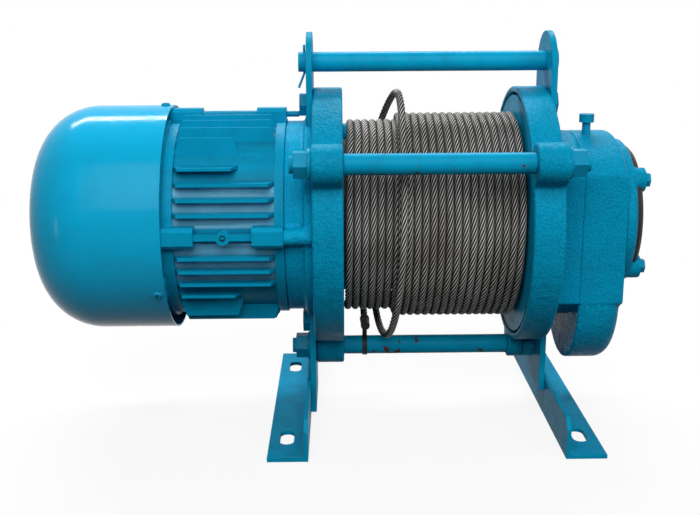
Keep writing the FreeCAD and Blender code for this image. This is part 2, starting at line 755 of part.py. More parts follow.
def case_bolt_places():
    return [(side * CASE_BOLT_Y, AXIS_Z + up) for side in (-1, 1) for up in (CASE_BOLT_UP, -CASE_BOLT_DOWN)]


def cover_bolt_places():
    return [(side * COVER_BOLT_Y, AXIS_Z + up) for side in (-1, 1) for up in (COVER_BOLT_UP, -COVER_BOLT_DOWN)]


def case_cavity(x0, x1):
    room = case_outline(x0, CASE_WALL).extrude(V(x1 - x0, 0, 0))
    bosses = [cyl_x(x0 - 1, x1 + 1, CASE_BOSS_R, y, z) for y, z in case_bolt_places()]
    return room.cut(bosses)


def gear_case_inner():
    x0 = MID_X + FLANGE_OUT
    x1 = MID_X + SEAM
    wall_in = x0 + PLATE_T + BODY_GAP
    wall_out = wall_in + BACK_WALL_T
    body = case_outline(x0, 0).extrude(V(x1 - x0, 0, 0))
    half = PLATE_W / 2 + BODY_GAP
    z_count = AXIS_Z - CENTRE_DISTANCE
    cuts = [block(x0 - 1, wall_in, -half, half, 0, PLATE_TOP_Z), case_cavity(wall_out, x1 + 1)]
    cuts.append(cyl_x(x0 - 1, x1, GEAR_SEAT_R + GEAR_SEAT_CLEARANCE))
    cuts.append(cyl_x(wall_out - SEAL_W, x1, SEAL_R + SEAT_FIT))
    cuts.append(cyl_x(x0, x1, SMALL_BEARING_R + SEAT_FIT, 0, z_count))
    for y, z in case_bolt_places():
        cuts.append(cyl_x(x0 - 1, x1 + 1, CASE_BOLT_R + RUNNING_FIT, y, z))
    head_out = MID_X + PLATE_OUT + PLATE_BOLT_HEAD_T + BODY_GAP
    cuts += [head_room(x0 - 1, head_out, side) for side in (-1, 1)]
    return body.cut(cuts)


def gear_case_outer():
    x0 = MID_X + SEAM
    x1 = MID_X + CASE_OUT
    z_count = AXIS_Z - CENTRE_DISTANCE
    body = case_outline(x0, 0).extrude(V(x1 - x0, 0, 0))
    end_edges = [edge for edge in body.Edges if edge.CenterOfMass.x > x1 - SEAT_FIT]
    top_edges = [edge for edge in end_edges if edge.CenterOfMass.z > AXIS_Z + CASE_SHOULDER]
    body = body.makeFillet(CASE_ROUND, top_edges)
    body = fused(body, sump_bulge(x0, x1, BULGE_R, BULGE_ROUND))
    room = case_cavity(x0 - 1, x1 - CASE_WALL)
    room = room.fuse(sump_bulge(x0 + CASE_WALL, x1 - CASE_WALL, BULGE_R - CASE_WALL, BULGE_ROUND - CASE_WALL))
    boss_in = x1 - COVER_BOLT_GRIP - CASE_WALL / 2
    pads = [cyl_x(boss_in, x1, COVER_BOSS_R, y, z) for y, z in cover_bolt_places()]
    bearing_in = MID_X + countershaft_ends()[1] - SMALL_BEARING_W
    pads.append(cyl_x(bearing_in, x1, SMALL_BEARING_R + CASE_WALL, 0, z_count))
    room = room.cut(pads)
    cuts = [room, cyl_x(x0, x1 + 1, COVER_SPIGOT_R + SEAT_FIT)]
    cuts.append(cyl_x(bearing_in - 1, bearing_in + SMALL_BEARING_W, SMALL_BEARING_R + SEAT_FIT, 0, z_count))
    for y, z in cover_bolt_places():
        cuts.append(cyl_x(x1 - COVER_BOLT_GRIP - BODY_GAP, x1 + 1, COVER_BOLT_R + SEAT_FIT, y, z))
    for y, z in case_bolt_places():
        cuts.append(cyl_x(x0 - 1, x0 + CASE_BOLT_GRIP + BODY_GAP, CASE_BOLT_R + SEAT_FIT, y, z))
    cuts.append(breather_shape(RUNNING_FIT))
    return body.cut(cuts)


def sump_bulge(x0, x1, radius, rounding):
    # Round housing about the countershaft, a little lower, with a rounded outer edge
    z = AXIS_Z - CENTRE_DISTANCE - BULGE_DROP

    def at(x, r):
        return V(x, 0, z - r)

    slope = rounding * (1 - math.sqrt(0.5))
    bend = [at(x1 - rounding, radius), at(x1 - slope, radius - slope), at(x1, radius - rounding)]
    arc = Part.Arc(*bend).toShape()
    sides = Part.makePolygon([at(x1, radius - rounding), at(x1, 0), at(x0, 0), at(x0, radius),
                              at(x1 - rounding, radius)])
    return Part.Face(Part.Wire([arc] + sides.Edges)).revolve(V(0, 0, z), V(1, 0, 0), 360)


def gear_case_bolt(y, z):
    head_in = MID_X + HALF_SPACE + RING_DEPTH
    tip = MID_X + SEAM + CASE_BOLT_GRIP
    head = cyl_x(head_in, head_in + CASE_BOLT_HEAD_T, CASE_BOLT_HEAD_R, y, z)
    socket = hex_x(head_in - 1, head_in + CASE_BOLT_HEAD_T / 2, CASE_BOLT_HEAD_R, y, z)
    return fused(head, cyl_x(head_in, tip, CASE_BOLT_R, y, z)).cut(socket)


def end_cover():
    x0 = MID_X + CASE_OUT
    x1 = MID_X + COVER_OUT
    cover = turned([(x0, 0), (x0, COVER_R), (x1 - COVER_ROUND, COVER_R), (x1, COVER_R - COVER_ROUND), (x1, 0)])
    bosses = [cyl_x(x0, MID_X + COVER_BOSS_OUT, COVER_BOSS_R, y, z) for y, z in cover_bolt_places()]
    spigot = cyl_x(x0 - COVER_SPIGOT_L, x0, COVER_SPIGOT_R)
    cover = fused(cover, spigot, *bosses)
    seat = cyl_x(x0 - COVER_SPIGOT_L - 1, x0 - COVER_SPIGOT_L + TIP_BEARING_W + BODY_GAP,
                 TIP_BEARING_R + SEAT_FIT)
    end_room = cyl_x(x0 - COVER_SPIGOT_L, x0 + SMALL_BEARING_W, TIP_ROOM_R)
    x2 = MID_X + COVER_BOSS_OUT + 1
    holes = [cyl_x(x0 - 1, x2, COVER_BOLT_R + RUNNING_FIT, y, z) for y, z in cover_bolt_places()]
    return cover.cut([seat, end_room] + holes)


def cover_bolt(y, z):
    under = MID_X + COVER_BOSS_OUT
    head = hex_x(under, under + COVER_HEAD_T, COVER_BOLT_AF, y, z)
    return fused(head, cyl_x(MID_X + CASE_OUT - COVER_BOLT_GRIP, under, COVER_BOLT_R, y, z))


def end_cap():
    # Round cap on the cover, cut away round the four bosses
    x0 = MID_X + COVER_OUT
    x1 = x0 + CAP_T
    cap = turned([(x0, 0), (x0, CAP_R), (x1 - CAP_ROUND, CAP_R), (x1, CAP_R - CAP_ROUND), (x1, 0)])
    return cap.cut([cyl_x(x0 - 1, x1 + 1, COVER_BOSS_R + BODY_GAP, y, z) for y, z in cover_bolt_places()])


def breather_shape(margin):
    # Vent plug standing on top of the case
    depth = CASE_HALF_DEPTH
    rise = CASE_TOP - CASE_SHOULDER
    arch_r = (depth * depth + rise * rise) / (2 * rise)
    seat_z = AXIS_Z + CASE_TOP - arch_r + math.sqrt(arch_r ** 2 - BREATHER_Y ** 2)
    base = V(MID_X + BREATHER_X, BREATHER_Y, seat_z - BREATHER_THREAD_L)
    stem = Part.makeCylinder(BREATHER_STEM_R + margin, BREATHER_THREAD_L + BREATHER_H - BREATHER_HEAD_T, base)
    if margin:
        return stem
    head_base = V(base.x, base.y, seat_z + BREATHER_H - BREATHER_HEAD_T)
    return fused(stem, Part.makeCylinder(BREATHER_HEAD_R, BREATHER_HEAD_T, head_base))


# Motor: finned frame, two end shields, stator, rotor

def motor_frame():
    x0 = MID_X - MOTOR_OUT
    x1 = MID_X - SHIELD_OUT
    body = cyl_x(x0, x1, FRAME_R)
    extras = [cyl_x(x0, x0 + END_RING_L, END_RING_R), cyl_x(x1 - END_RING_L, x1, END_RING_R)]
    for offset in FIN_OFFSETS:
        long_fin = offset < FIN_OFFSETS[-1]
        fin_end = x1 - FIN_INSET if long_fin else x0 + FIN_INSET + SHORT_FIN_L
        for side in (-1, 1):
            flat = motor_fin(x0 + FIN_INSET, fin_end, side * offset)
            tall = flat.copy()
            tall.rotate(V(0, 0, AXIS_Z), V(1, 0, 0), 90)
            extras += [flat, tall]
    for angle in STUD_ANGLES:
        extras += motor_lugs(x0, x1, angle)
    pad = block(terminal_x0(), terminal_x0() + TERMINAL_L, 0, MOTOR_LUG_R, AXIS_Z - TERMINAL_H / 2,
                AXIS_Z + TERMINAL_H / 2)
    body = fused(body, pad, *extras)
    wire_hole = Part.makeCylinder(GLAND_BORE_R, MOTOR_LUG_R, V(terminal_x0() + TERMINAL_L / 2, 1, AXIS_Z),
                                  V(0, 1, 0))
    bore = cyl_x(x0 - 1, x1 + 1, FRAME_BORE_R)
    base = block(x0 - 1, x1 + 1, -FIN_TIP_R, FIN_TIP_R, AXIS_Z - 2 * FIN_TIP_R, AXIS_Z - FRAME_BASE)
    return body.cut([bore, base, wire_hole, eye_hole()] + stud_tunnels(x0 - 1, x1 + 1, STUD_ANGLES))


def motor_fin(x0, x1, offset):
    # Flat rib with sloped ends, standing out of both sides of the frame
    root = math.sqrt(FRAME_R ** 2 - offset ** 2)
    tip = math.sqrt(FIN_TIP_R ** 2 - offset ** 2)
    z = AXIS_Z + offset - FIN_T / 2
    outline = [(x0, root), (x0 + FIN_SLOPE, tip), (x1 - FIN_SLOPE, tip), (x1, root)]
    points = [V(x, y, z) for x, y in outline] + [V(x, -y, z) for x, y in reversed(outline)]
    return Part.Face(Part.makePolygon(points + points[:1])).extrude(V(0, 0, FIN_T))


def motor_lugs(x0, x1, angle):
    # Stud lugs at both ends; the front ones are joined by a rib with an eye
    half = MOTOR_LUG_W / 2
    face = half - MOTOR_LUG_CHAMFER
    shoulder = MOTOR_LUG_R - MOTOR_LUG_CHAMFER
    outline = [(FRAME_BORE_R, -half), (shoulder, -half), (MOTOR_LUG_R, -face), (MOTOR_LUG_R, face),
               (shoulder, half), (FRAME_BORE_R, half)]
    lugs = []
    for start in (x0, x1 - MOTOR_LUG_L):
        points = [V(start, y, AXIS_Z + z) for y, z in outline]
        lugs.append(Part.Face(Part.makePolygon(points + points[:1])).extrude(V(MOTOR_LUG_L, 0, 0)))
    if angle == 180:
        lugs.append(block(x0, x1, FRAME_BORE_R, FIN_TIP_R, AXIS_Z - RIB_T / 2, AXIS_Z + RIB_T / 2))
        lugs.append(Part.makeCylinder(EYE_R, FIN_TIP_R - FRAME_BORE_R, V((x0 + x1) / 2, FRAME_BORE_R, AXIS_Z),
                                      V(0, 1, 0)))
    for lug in lugs:
        lug.rotate(V(0, 0, AXIS_Z), V(1, 0, 0), angle)
    return lugs


def eye_hole():
    middle = MID_X - (MOTOR_OUT + SHIELD_OUT) / 2
    depth = FIN_TIP_R - FRAME_R
    return Part.makeCylinder(EYE_HOLE_R, depth + 1, V(middle, -FIN_TIP_R - 1, AXIS_Z), V(0, 1, 0))


def stud_tunnels(x0, x1, angles):
    return [cyl_x(x0, x1, STUD_R + RUNNING_FIT, *on_circle(STUD_CIRCLE_R, angle)) for angle in angles]


def motor_stud(angle):
    # Stud through the frame's lugs with a nut at the cowl end; the front and back ones reach the flange,
    # the upper one ends before the side plate's bolt
    y, z = on_circle(STUD_CIRCLE_R, angle)
    x0 = MID_X - MOTOR_OUT - REAR_SHIELD_T - STUD_NUT_T
    x1 = MID_X - PLATE_OUT - PLATE_BOLT_HEAD_T - BODY_GAP
    if angle in LONG_STUD_ANGLES:
        x1 = MID_X - FLANGE_OUT + STUD_GRIP
    nut = hex_x(x0, x0 + STUD_NUT_T, STUD_NUT_AF, y, z)
    return fused(cyl_x(x0, x1, STUD_R, y, z), nut)


def motor_front_shield():
    x0 = MID_X - SHIELD_OUT
    x1 = MID_X - FLANGE_OUT
    plate_in = x1 - PLATE_T - BODY_GAP
    body = fused(cyl_x(x0, x1, SHIELD_R), cyl_x(x1 - SHIELD_RING_L, x1, SHIELD_RING_R))
    hollow = tube_x(x0 + SHIELD_WEB_T, x1 + 1, SHIELD_HOLLOW_R, SHIELD_HUB_R)
    body = body.cut(hollow)
    bosses = []
    for angle in LONG_STUD_ANGLES:
        neck = block(x0, x1, SHIELD_HOLLOW_R + RING_OVERLAP, STUD_CIRCLE_R, AXIS_Z - SHIELD_BOSS_R,
                     AXIS_Z + SHIELD_BOSS_R)
        neck.rotate(V(0, 0, AXIS_Z), V(1, 0, 0), angle)
        bosses += [neck, cyl_x(x0, x1, SHIELD_BOSS_R, *on_circle(STUD_CIRCLE_R, angle))]
    body = fused(body, *bosses)
    gap = PLATE_W / 2 + BODY_GAP
    cuts = [block(plate_in, x1 + 1, -gap, gap, 0, PLATE_TOP_Z)]
    cuts.append(cyl_x(x0 - 1, x0 + MOTOR_BEARING_W, MOTOR_BEARING_R + SEAT_FIT))
    cuts.append(cyl_x(x0 - 1, x1 + 1, MOTOR_BEARING_R - BEARING_LIP))
    head_in = MID_X - PLATE_OUT - PLATE_BOLT_HEAD_T - BODY_GAP
    cuts += [head_room(head_in, x1 + 1, side) for side in (-1, 1)]
    return body.cut(cuts + stud_tunnels(x0 - 1, x1 + 1, LONG_STUD_ANGLES))


def motor_rear_shield():
    x0 = MID_X - MOTOR_OUT - REAR_SHIELD_T
    x1 = MID_X - MOTOR_OUT
    body = cyl_x(x0, x1, REAR_SHIELD_R)
    lugs = []
    for angle in COWL_SCREW_ANGLES:
        lug = block(x0, x1, FRAME_R, COWL_R, AXIS_Z - COWL_LUG_W / 2, AXIS_Z + COWL_LUG_W / 2)
        lug.rotate(V(0, 0, AXIS_Z), V(1, 0, 0), angle)
        lugs.append(lug)
    for angle in STUD_ANGLES:
        pad = block(x0, x1, FRAME_R, MOTOR_LUG_R, AXIS_Z - MOTOR_LUG_W / 2, AXIS_Z + MOTOR_LUG_W / 2)
        pad.rotate(V(0, 0, AXIS_Z), V(1, 0, 0), angle)
        lugs.append(pad)
    body = fused(body, *lugs).common(cyl_x(x0, x1, COWL_R - COWL_SHEET))
    cuts = [cyl_x(x0 - 1, x1 + 1, REAR_BEARING_R + SEAT_FIT)]
    for y, z in brake_stud_places():
        cuts.append(cyl_x(x0 - 1, x1 + 1, BRAKE_STUD_R + SEAT_FIT, y, z))
    for angle in COWL_SCREW_ANGLES:
        cuts.append(cowl_screw_bore(angle, COWL_SCREW_R + SEAT_FIT))
    return body.cut(cuts + stud_tunnels(x0 - 1, x1 + 1, STUD_ANGLES))


def core_in():
    return MID_X - MOTOR_OUT + CORE_INSET


def stator_core():
    return tube_x(core_in(), core_in() + CORE_L, FRAME_BORE_R - SEAT_FIT, ROTOR_R + AIR_GAP)


def stator_winding():
    # End turns that stand out of both ends of the core
    x0 = core_in()
    x1 = x0 + CORE_L
    return [tube_x(start, start + WINDING_L, WINDING_R, WINDING_BORE_R) for start in (x0 - WINDING_L, x1)]


def rotor_core():
    x0 = core_in()
    x1 = x0 + CORE_L
    core = cyl_x(x0, x1, ROTOR_R)
    starts = (x0 - END_RING_W, x1)
    rings = [tube_x(start, start + END_RING_W, ROTOR_RING_R, END_RING_IN_R) for start in starts]
    return fused(core, *rings).cut(cyl_x(x0 - 1, x1 + 1, ROTOR_SEAT_R))


def motor_shaft():
    # Stepped shaft, bored at the drive end for the drive shaft's spigot
    fan_end = fan_x0() - BODY_GAP
    start = MID_X - FLANGE_OUT - PLATE_T / 2
    rotor_end = core_in() + CORE_L
    step = MID_X - MOTOR_OUT + BODY_GAP
    profile = [(fan_end, 0), (fan_end, SHAFT_R), (step, SHAFT_R), (step, MOTOR_SHAFT_R),
               (core_in(), MOTOR_SHAFT_R), (core_in(), ROTOR_SEAT_R), (rotor_end, ROTOR_SEAT_R),
               (rotor_end, MOTOR_SHAFT_R), (start, MOTOR_SHAFT_R), (start, SHAFT_SPIGOT_R),
               (start - SHAFT_SPIGOT_L, SHAFT_SPIGOT_R), (start - SHAFT_SPIGOT_L, 0)]
    return turned(profile)


# Brake: springs press the armature and the disc against the rear shield

def brake_stud_places():
    return [on_circle(BRAKE_STUD_CIRCLE_R, 30 + 120 * k) for k in range(3)]


def disc_out():
    return MID_X - MOTOR_OUT - REAR_SHIELD_T - BODY_GAP - BRAKE_DISC_T


def armature_out():
    return disc_out() - BODY_GAP - ARMATURE_T


def magnet_in():
    return armature_out() - ARMATURE_TRAVEL - BODY_GAP


def brake_disc():
    x0 = disc_out()
    lining = tube_x(x0, x0 + BRAKE_DISC_T, LINING_R, BRAKE_BORE_R)
    hub = hex_x(x0, x0 + BRAKE_DISC_T, 2 * BRAKE_BORE_R, 0, AXIS_Z)
    return fused(lining, hub).cut(cyl_x(x0 - 1, x0 + BRAKE_DISC_T + 1, SHAFT_R))


def brake_armature():
    x0 = armature_out()
    plate = tube_x(x0, x0 + ARMATURE_T, BRAKE_R, BRAKE_BORE_R)
    x1 = x0 + ARMATURE_T
    return plate.cut([cyl_x(x0 - 1, x1 + 1, BRAKE_STUD_HOLE_R, y, z) for y, z in brake_stud_places()])


def spring_places():
    return [on_circle(SPRING_CIRCLE_R, 60 * k) for k in range(6)]


def brake_magnet():
    x1 = magnet_in()
    x0 = x1 - MAGNET_T
    body = tube_x(x0, x1, BRAKE_R, BRAKE_BORE_R)
    cuts = [cyl_x(x0 - 1, x1 + 1, BRAKE_STUD_R + RUNNING_FIT, y, z) for y, z in brake_stud_places()]
    cuts += [cyl_x(x1 - SPRING_POCKET_DEPTH, x1 + 1, SPRING_R + RUNNING_FIT, y, z) for y, z in spring_places()]
    return body.cut(cuts)


def brake_spring(y, z):
    x1 = magnet_in()
    return tube_x(x1 - SPRING_POCKET_DEPTH, x1, SPRING_R, SPRING_R - SPRING_WIRE, y, z)


def brake_stud(y, z):
    x0 = magnet_in() - MAGNET_T - BRAKE_NUT_T
    nut = hex_x(x0, x0 + BRAKE_NUT_T, BRAKE_NUT_AF, y, z)
    return fused(nut, cyl_x(x0, MID_X - MOTOR_OUT, BRAKE_STUD_R, y, z))


def fan_x0():
    return magnet_in() - MAGNET_T - FAN_GAP - FAN_W


def cooling_fan():
    x0 = fan_x0()
    x1 = x0 + FAN_W
    fan = fused(cyl_x(x0, x1, FAN_HUB_R), cyl_x(x1 - FAN_PLATE_T, x1, FAN_R))
    blades = []
    for k in range(FAN_BLADES):
        blade = block(x0, x1 - FAN_PLATE_T, FAN_BLADE_ROOT_R, FAN_R, AXIS_Z - FAN_BLADE_T / 2,
                      AXIS_Z + FAN_BLADE_T / 2)
        blade.rotate(V(0, 0, AXIS_Z), V(1, 0, 0), 360 * k / FAN_BLADES)
        blades.append(blade)
    return fused(fan, *blades).cut(cyl_x(x0 - 1, x1 + 1, SHAFT_R))


# Fan cowl: one drawn sheet with a large rounded corner and vent slots in the end

def cowl_skin(inset):
    x0 = MID_X - COWL_OUT + inset
    x1 = MID_X - MOTOR_OUT
    radius = COWL_R - inset
    rounding = COWL_ROUND - inset

    def at(x, r):
        return V(x, 0, AXIS_Z + r)

    shelf = x0 + COWL_DOME
    edge = radius - rounding
    bend = rounding * math.sqrt(0.5)
    rim = shelf + rounding
    corner = Part.Arc(at(shelf, edge), at(rim - bend, edge + bend), at(rim, radius)).toShape()
    sides = Part.makePolygon([at(rim, radius), at(x1, radius), at(x1, 0), at(x0, 0)])
    dome = Part.Arc(at(x0, 0), at(x0 + COWL_DOME / 4, edge / 2), at(shelf, edge)).toShape()
    return Part.Face(Part.Wire([corner] + sides.Edges + [dome])).revolve(V(0, 0, AXIS_Z), V(1, 0, 0), 360)


def fan_cowl():
    cowl = cowl_skin(0).cut(cowl_skin(COWL_SHEET))
    x0 = MID_X - COWL_OUT - 1
    x1 = x0 + VENT_CUT_L
    cuts = []
    for k in range(VENT_SLOTS):
        slot = block(x0, x1, VENT_IN_R, VENT_OUT_R, AXIS_Z - VENT_W / 2, AXIS_Z + VENT_W / 2)
        slot = fused(slot, cyl_x(x0, x1, VENT_W / 2, VENT_OUT_R), cyl_x(x0, x1, VENT_W / 2, VENT_IN_R))
        slot.rotate(V(0, 0, AXIS_Z), V(1, 0, 0), 360 * k / VENT_SLOTS)
        cuts.append(slot)
    for angle in COWL_SCREW_ANGLES:
        cuts.append(cowl_screw_bore(angle, COWL_SCREW_R + RUNNING_FIT))
    return cowl.cut(cuts)


def cowl_screw_bore(angle, radius):
    x = MID_X - MOTOR_OUT - COWL_SCREW_INSET
    base_r = COWL_R - COWL_SHEET - COWL_SCREW_GRIP
    bore = Part.makeCylinder(radius, COWL_SCREW_GRIP + 2 * COWL_SHEET, V(x, base_r, AXIS_Z), V(0, 1, 0))
    bore.rotate(V(0, 0, AXIS_Z), V(1, 0, 0), angle)
    return bore


def cowl_screw(angle):
    x = MID_X - MOTOR_OUT - COWL_SCREW_INSET
    base_r = COWL_R - COWL_SHEET - COWL_SCREW_GRIP
    shank = Part.makeCylinder(COWL_SCREW_R, COWL_SCREW_GRIP + COWL_SHEET, V(x, base_r, AXIS_Z), V(0, 1, 0))
    head = Part.makeCone(COWL_SCREW_HEAD_R, COWL_SCREW_CROWN_R, COWL_SCREW_HEAD_T, V(x, COWL_R, AXIS_Z),
                         V(0, 1, 0))
    screw = fused(shank, head)
    screw.rotate(V(0, 0, AXIS_Z), V(1, 0, 0), angle)
    return screw


# Terminal box on the back of the motor, with a lid and a cable gland

def terminal_x0():
    return MID_X - (MOTOR_OUT + SHIELD_OUT) / 2 - TERMINAL_L / 2


def terminal_screw_places():
    x0 = terminal_x0()
    inset = TERMINAL_SCREW_INSET
    return [(x, AXIS_Z + side * (TERMINAL_H / 2 - inset)) for x in (x0 + inset, x0 + TERMINAL_L - inset)
            for side in (-1, 1)]


def terminal_box():
    x0 = terminal_x0()
    x1 = x0 + TERMINAL_L
    z0 = AXIS_Z - TERMINAL_H / 2
    z1 = AXIS_Z + TERMINAL_H / 2
    y0 = MOTOR_LUG_R
    y1 = y0 + TERMINAL_DEPTH
    wall = TERMINAL_WALL
    room = block(x0 + wall, x1 - wall, y0 + wall, y1 + 1, z0 + wall, z1 - wall)
    posts = [Part.makeCylinder(TERMINAL_POST_R, TERMINAL_DEPTH, V(x, y0, z), V(0, 1, 0))
             for x, z in terminal_screw_places()]
    body = block(x0, x1, y0, y1, z0, z1).cut(room.cut(posts))
    cuts = [Part.makeCylinder(TERMINAL_SCREW_R + SEAT_FIT, TERMINAL_DEPTH, V(x, y0 + wall, z), V(0, 1, 0))
            for x, z in terminal_screw_places()]
    cuts.append(Part.makeCylinder(GLAND_BORE_R, wall + 2, V((x0 + x1) / 2, y0 - 1, AXIS_Z), V(0, 1, 0)))
    cuts.append(Part.makeCylinder(GLAND_THREAD_R + SEAT_FIT, wall + 2, gland_seat() - V(0, 0, 1)))
    return body.cut(cuts)


def gland_seat():
    return V(terminal_x0() + TERMINAL_L / 2, MOTOR_LUG_R + TERMINAL_DEPTH / 2, AXIS_Z - TERMINAL_H / 2)


def terminal_box_lid():
    x0 = terminal_x0()
    y0 = MOTOR_LUG_R + TERMINAL_DEPTH
    lid = block(x0, x0 + TERMINAL_L, y0, y0 + TERMINAL_LID_T, AXIS_Z - TERMINAL_H / 2, AXIS_Z + TERMINAL_H / 2)
    bore_r = TERMINAL_SCREW_R + RUNNING_FIT
    return lid.cut([Part.makeCylinder(bore_r, TERMINAL_LID_T + 2, V(x, y0 - 1, z), V(0, 1, 0))
                    for x, z in terminal_screw_places()])


def terminal_screw(x, z):
    under = MOTOR_LUG_R + TERMINAL_DEPTH + TERMINAL_LID_T
    shank_l = TERMINAL_DEPTH / 2 + TERMINAL_LID_T
    shank = Part.makeCylinder(TERMINAL_SCREW_R, shank_l, V(x, under - shank_l, z), V(0, 1, 0))
    head = Part.makeCylinder(TERMINAL_SCREW_HEAD_R, TERMINAL_SCREW_HEAD_T, V(x, under, z), V(0, 1, 0))
    return fused(shank, head)


def cable_gland():
    seat = gland_seat()
    thread = Part.makeCylinder(GLAND_THREAD_R, TERMINAL_WALL, seat)
    length = GLAND_BODY_L + GLAND_NOSE_L
    body = Part.makeCylinder(GLAND_R, GLAND_BODY_L, seat - V(0, 0, GLAND_BODY_L))
    nose = Part.makeCone(GLAND_NOSE_R, GLAND_R, GLAND_NOSE_L, seat - V(0, 0, length))
    bore = Part.makeCylinder(GLAND_BORE_R, length + 2 * TERMINAL_WALL, seat - V(0, 0, length + 1))
    return fused(body, thread, nose).cut(bore)


# Loose rope end: a slack last turn, lashed to the bottom tie rod

def rope_point(degrees, along, out):
    angle = math.radians(degrees)
    on_pack = PACK_R + ROPE_D / 2
    on_rods = ROD_CIRCLE_R - ROD_R - ROPE_D / 2
    radius = on_pack + out * (on_rods - on_pack)
    return V(MID_X + along, -radius * math.cos(angle), AXIS_Z + radius * math.sin(angle))


def rounded_path(points):
    # Straight runs joined by tangent arcs, each as large as its two runs allow
    edges = []
    last = points[0]
    for before, corner, after in zip(points, points[1:], points[2:]):
        back = before - corner
        ahead = after - corner
        reach = BEND_SHARE * min(back.Length, ahead.Length)
        half_turn = (math.pi - back.getAngle(ahead)) / 2
        radius = reach / math.tan(half_turn)
        back.normalize()
        ahead.normalize()
        bisector = (back + ahead).normalize()
        start = corner + back * reach
        end = corner + ahead * reach
        middle = corner + bisector * (radius / math.cos(half_turn) - radius)
        edges += [Part.makeLine(last, start), Part.Arc(start, middle, end).toShape()]
        last = end
    edges.append(Part.makeLine(last, points[-1]))
    return Part.Wire(edges)


def rope_tail():
    points = [rope_point(*stop) for stop in ROPE_TAIL_ROUTE]
    circle = Part.makeCircle(ROPE_D / 2, points[0], points[1] - points[0])
    return rounded_path(points).makePipe(Part.Face(Part.Wire(circle)))


def rope_end_ferrule():
    before, tip = [rope_point(*stop) for stop in ROPE_TAIL_ROUTE[-2:]]
    return Part.makeCylinder(FERRULE_R, FERRULE_L, tip, tip - before)


def rope_tie():
    # Strap with a ring on the bottom rod, a short upright and a ring on the rope that crosses above
    before, tip = [rope_point(*stop) for stop in ROPE_TAIL_ROUTE[-2:]]
    heading = (tip - before).normalize()
    seat = before - heading * (before.y / heading.y)
    x0 = seat.x - TIE_W / 2
    x1 = seat.x + TIE_W / 2
    rod_r = ROD_R + RUNNING_FIT
    rope_r = ROPE_D / 2 + RUNNING_FIT
    start = seat - heading * TIE_W / 2
    rope_ring = Part.makeCylinder(rope_r + TIE_T, TIE_W, start, heading)
    rod_ring = cyl_x(x0, x1, rod_r + TIE_T, 0, BOTTOM_ROD_Z)
    upright = block(x0, x1, -TIE_T / 2, TIE_T / 2, BOTTOM_ROD_Z, seat.z)
    rope_bore = Part.makeCylinder(rope_r, 3 * TIE_W, start - heading * TIE_W, heading)
    return fused(rod_ring, upright, rope_ring).cut([rope_bore, cyl_x(x0 - 1, x1 + 1, rod_r, 0, BOTTOM_ROD_Z)])


# Save every piece

save("left_foot", left_foot())
save("right_foot", mirrored(left_foot()))
save("foot_welds", foot_weld(), mirrored(foot_weld()))
save("left_side_plate", side_plate(LEFT_PLATE_BOTTOM_Z, True))
save("right_side_plate", mirrored(side_plate(RIGHT_PLATE_BOTTOM_Z, False)))
plate_bolts = [plate_bolt(side) for side in (-1, 1)]
save("side_plate_bolts", *plate_bolts, *[mirrored(bolt) for bolt in plate_bolts])
save("left_flange", left_flange())
save("right_flange", right_flange())
tie_rods_and_nuts()
save("hanger_bar", hanger_bar())
save("split_pin", split_pin())

save("left_drum_bearing", left_drum_bearing())
save("right_drum_bearing", mirrored(left_drum_bearing()))
save("drum_barrel", drum_barrel())
save("drum_left_end", drum_end(FLANGE_OUT - BODY_GAP, 0))
save("drum_right_end", mirrored(drum_end(FLANGE_OUT, seat_reach())))
save("rope_winding", rope_winding())
save("rope_tail", rope_tail())
save("rope_end_ferrule", rope_end_ferrule())
save("rope_tie", rope_tie())

save("output_gear", output_gear())
save("countershaft", countershaft())
save("intermediate_gear", intermediate_gear())
save("drive_shaft", drive_shaft())
save("gear_case_inner", gear_case_inner())
save("gear_case_outer", gear_case_outer())
save("gear_case_bolts", *[gear_case_bolt(y, z) for y, z in case_bolt_places()])
save("end_cover", end_cover())
save("end_cover_bolts", *[cover_bolt(y, z) for y, z in cover_bolt_places()])
save("end_cap", end_cap())
save("breather_plug", breather_shape(0))
seal_x1 = MID_X + FLANGE_OUT + PLATE_T + BODY_GAP + BACK_WALL_T
save("drum_seal", tube_x(seal_x1 - SEAL_W, seal_x1, SEAL_R, GEAR_SEAT_R + RUNNING_FIT))
count_left, count_right = countershaft_ends()
small_bearings = []
for small_x in (count_left, count_right - SMALL_BEARING_W):
    ring = bearing(MID_X + small_x, SMALL_BEARING_W, SMALL_BEARING_R, COUNTERSHAFT_R + RUNNING_FIT)
    ring.translate(V(0, 0, -CENTRE_DISTANCE))
    small_bearings.append(ring)
save("countershaft_bearings", *small_bearings)
save("drive_shaft_bearing", bearing(MID_X + CASE_OUT - COVER_SPIGOT_L, TIP_BEARING_W, TIP_BEARING_R,
                                    TIP_JOURNAL_R + RUNNING_FIT))

save("motor_frame", motor_frame())
save("motor_front_shield", motor_front_shield())
save("motor_rear_shield", motor_rear_shield())
save("motor_studs", *[motor_stud(angle) for angle in STUD_ANGLES])
save("motor_front_bearing", bearing(MID_X - SHIELD_OUT, MOTOR_BEARING_W, MOTOR_BEARING_R,
                                    MOTOR_SHAFT_R + RUNNING_FIT))
save("motor_rear_bearing", bearing(MID_X - MOTOR_OUT - REAR_SHIELD_T, REAR_SHIELD_T, REAR_BEARING_R,
                                   SHAFT_R + RUNNING_FIT))
save("stator_core", stator_core())
save("stator_winding", *stator_winding())
save("rotor_core", rotor_core())
save("motor_shaft", motor_shaft())
save("brake_disc", brake_disc())
save("brake_armature", brake_armature())
save("brake_magnet", brake_magnet())
save("brake_springs", *[brake_spring(y, z) for y, z in spring_places()])
save("brake_studs", *[brake_stud(y, z) for y, z in brake_stud_places()])
save("cooling_fan", cooling_fan())
save("fan_cowl", fan_cowl())
save("cowl_screws", *[cowl_screw(angle) for angle in COWL_SCREW_ANGLES])
save("terminal_box", terminal_box())
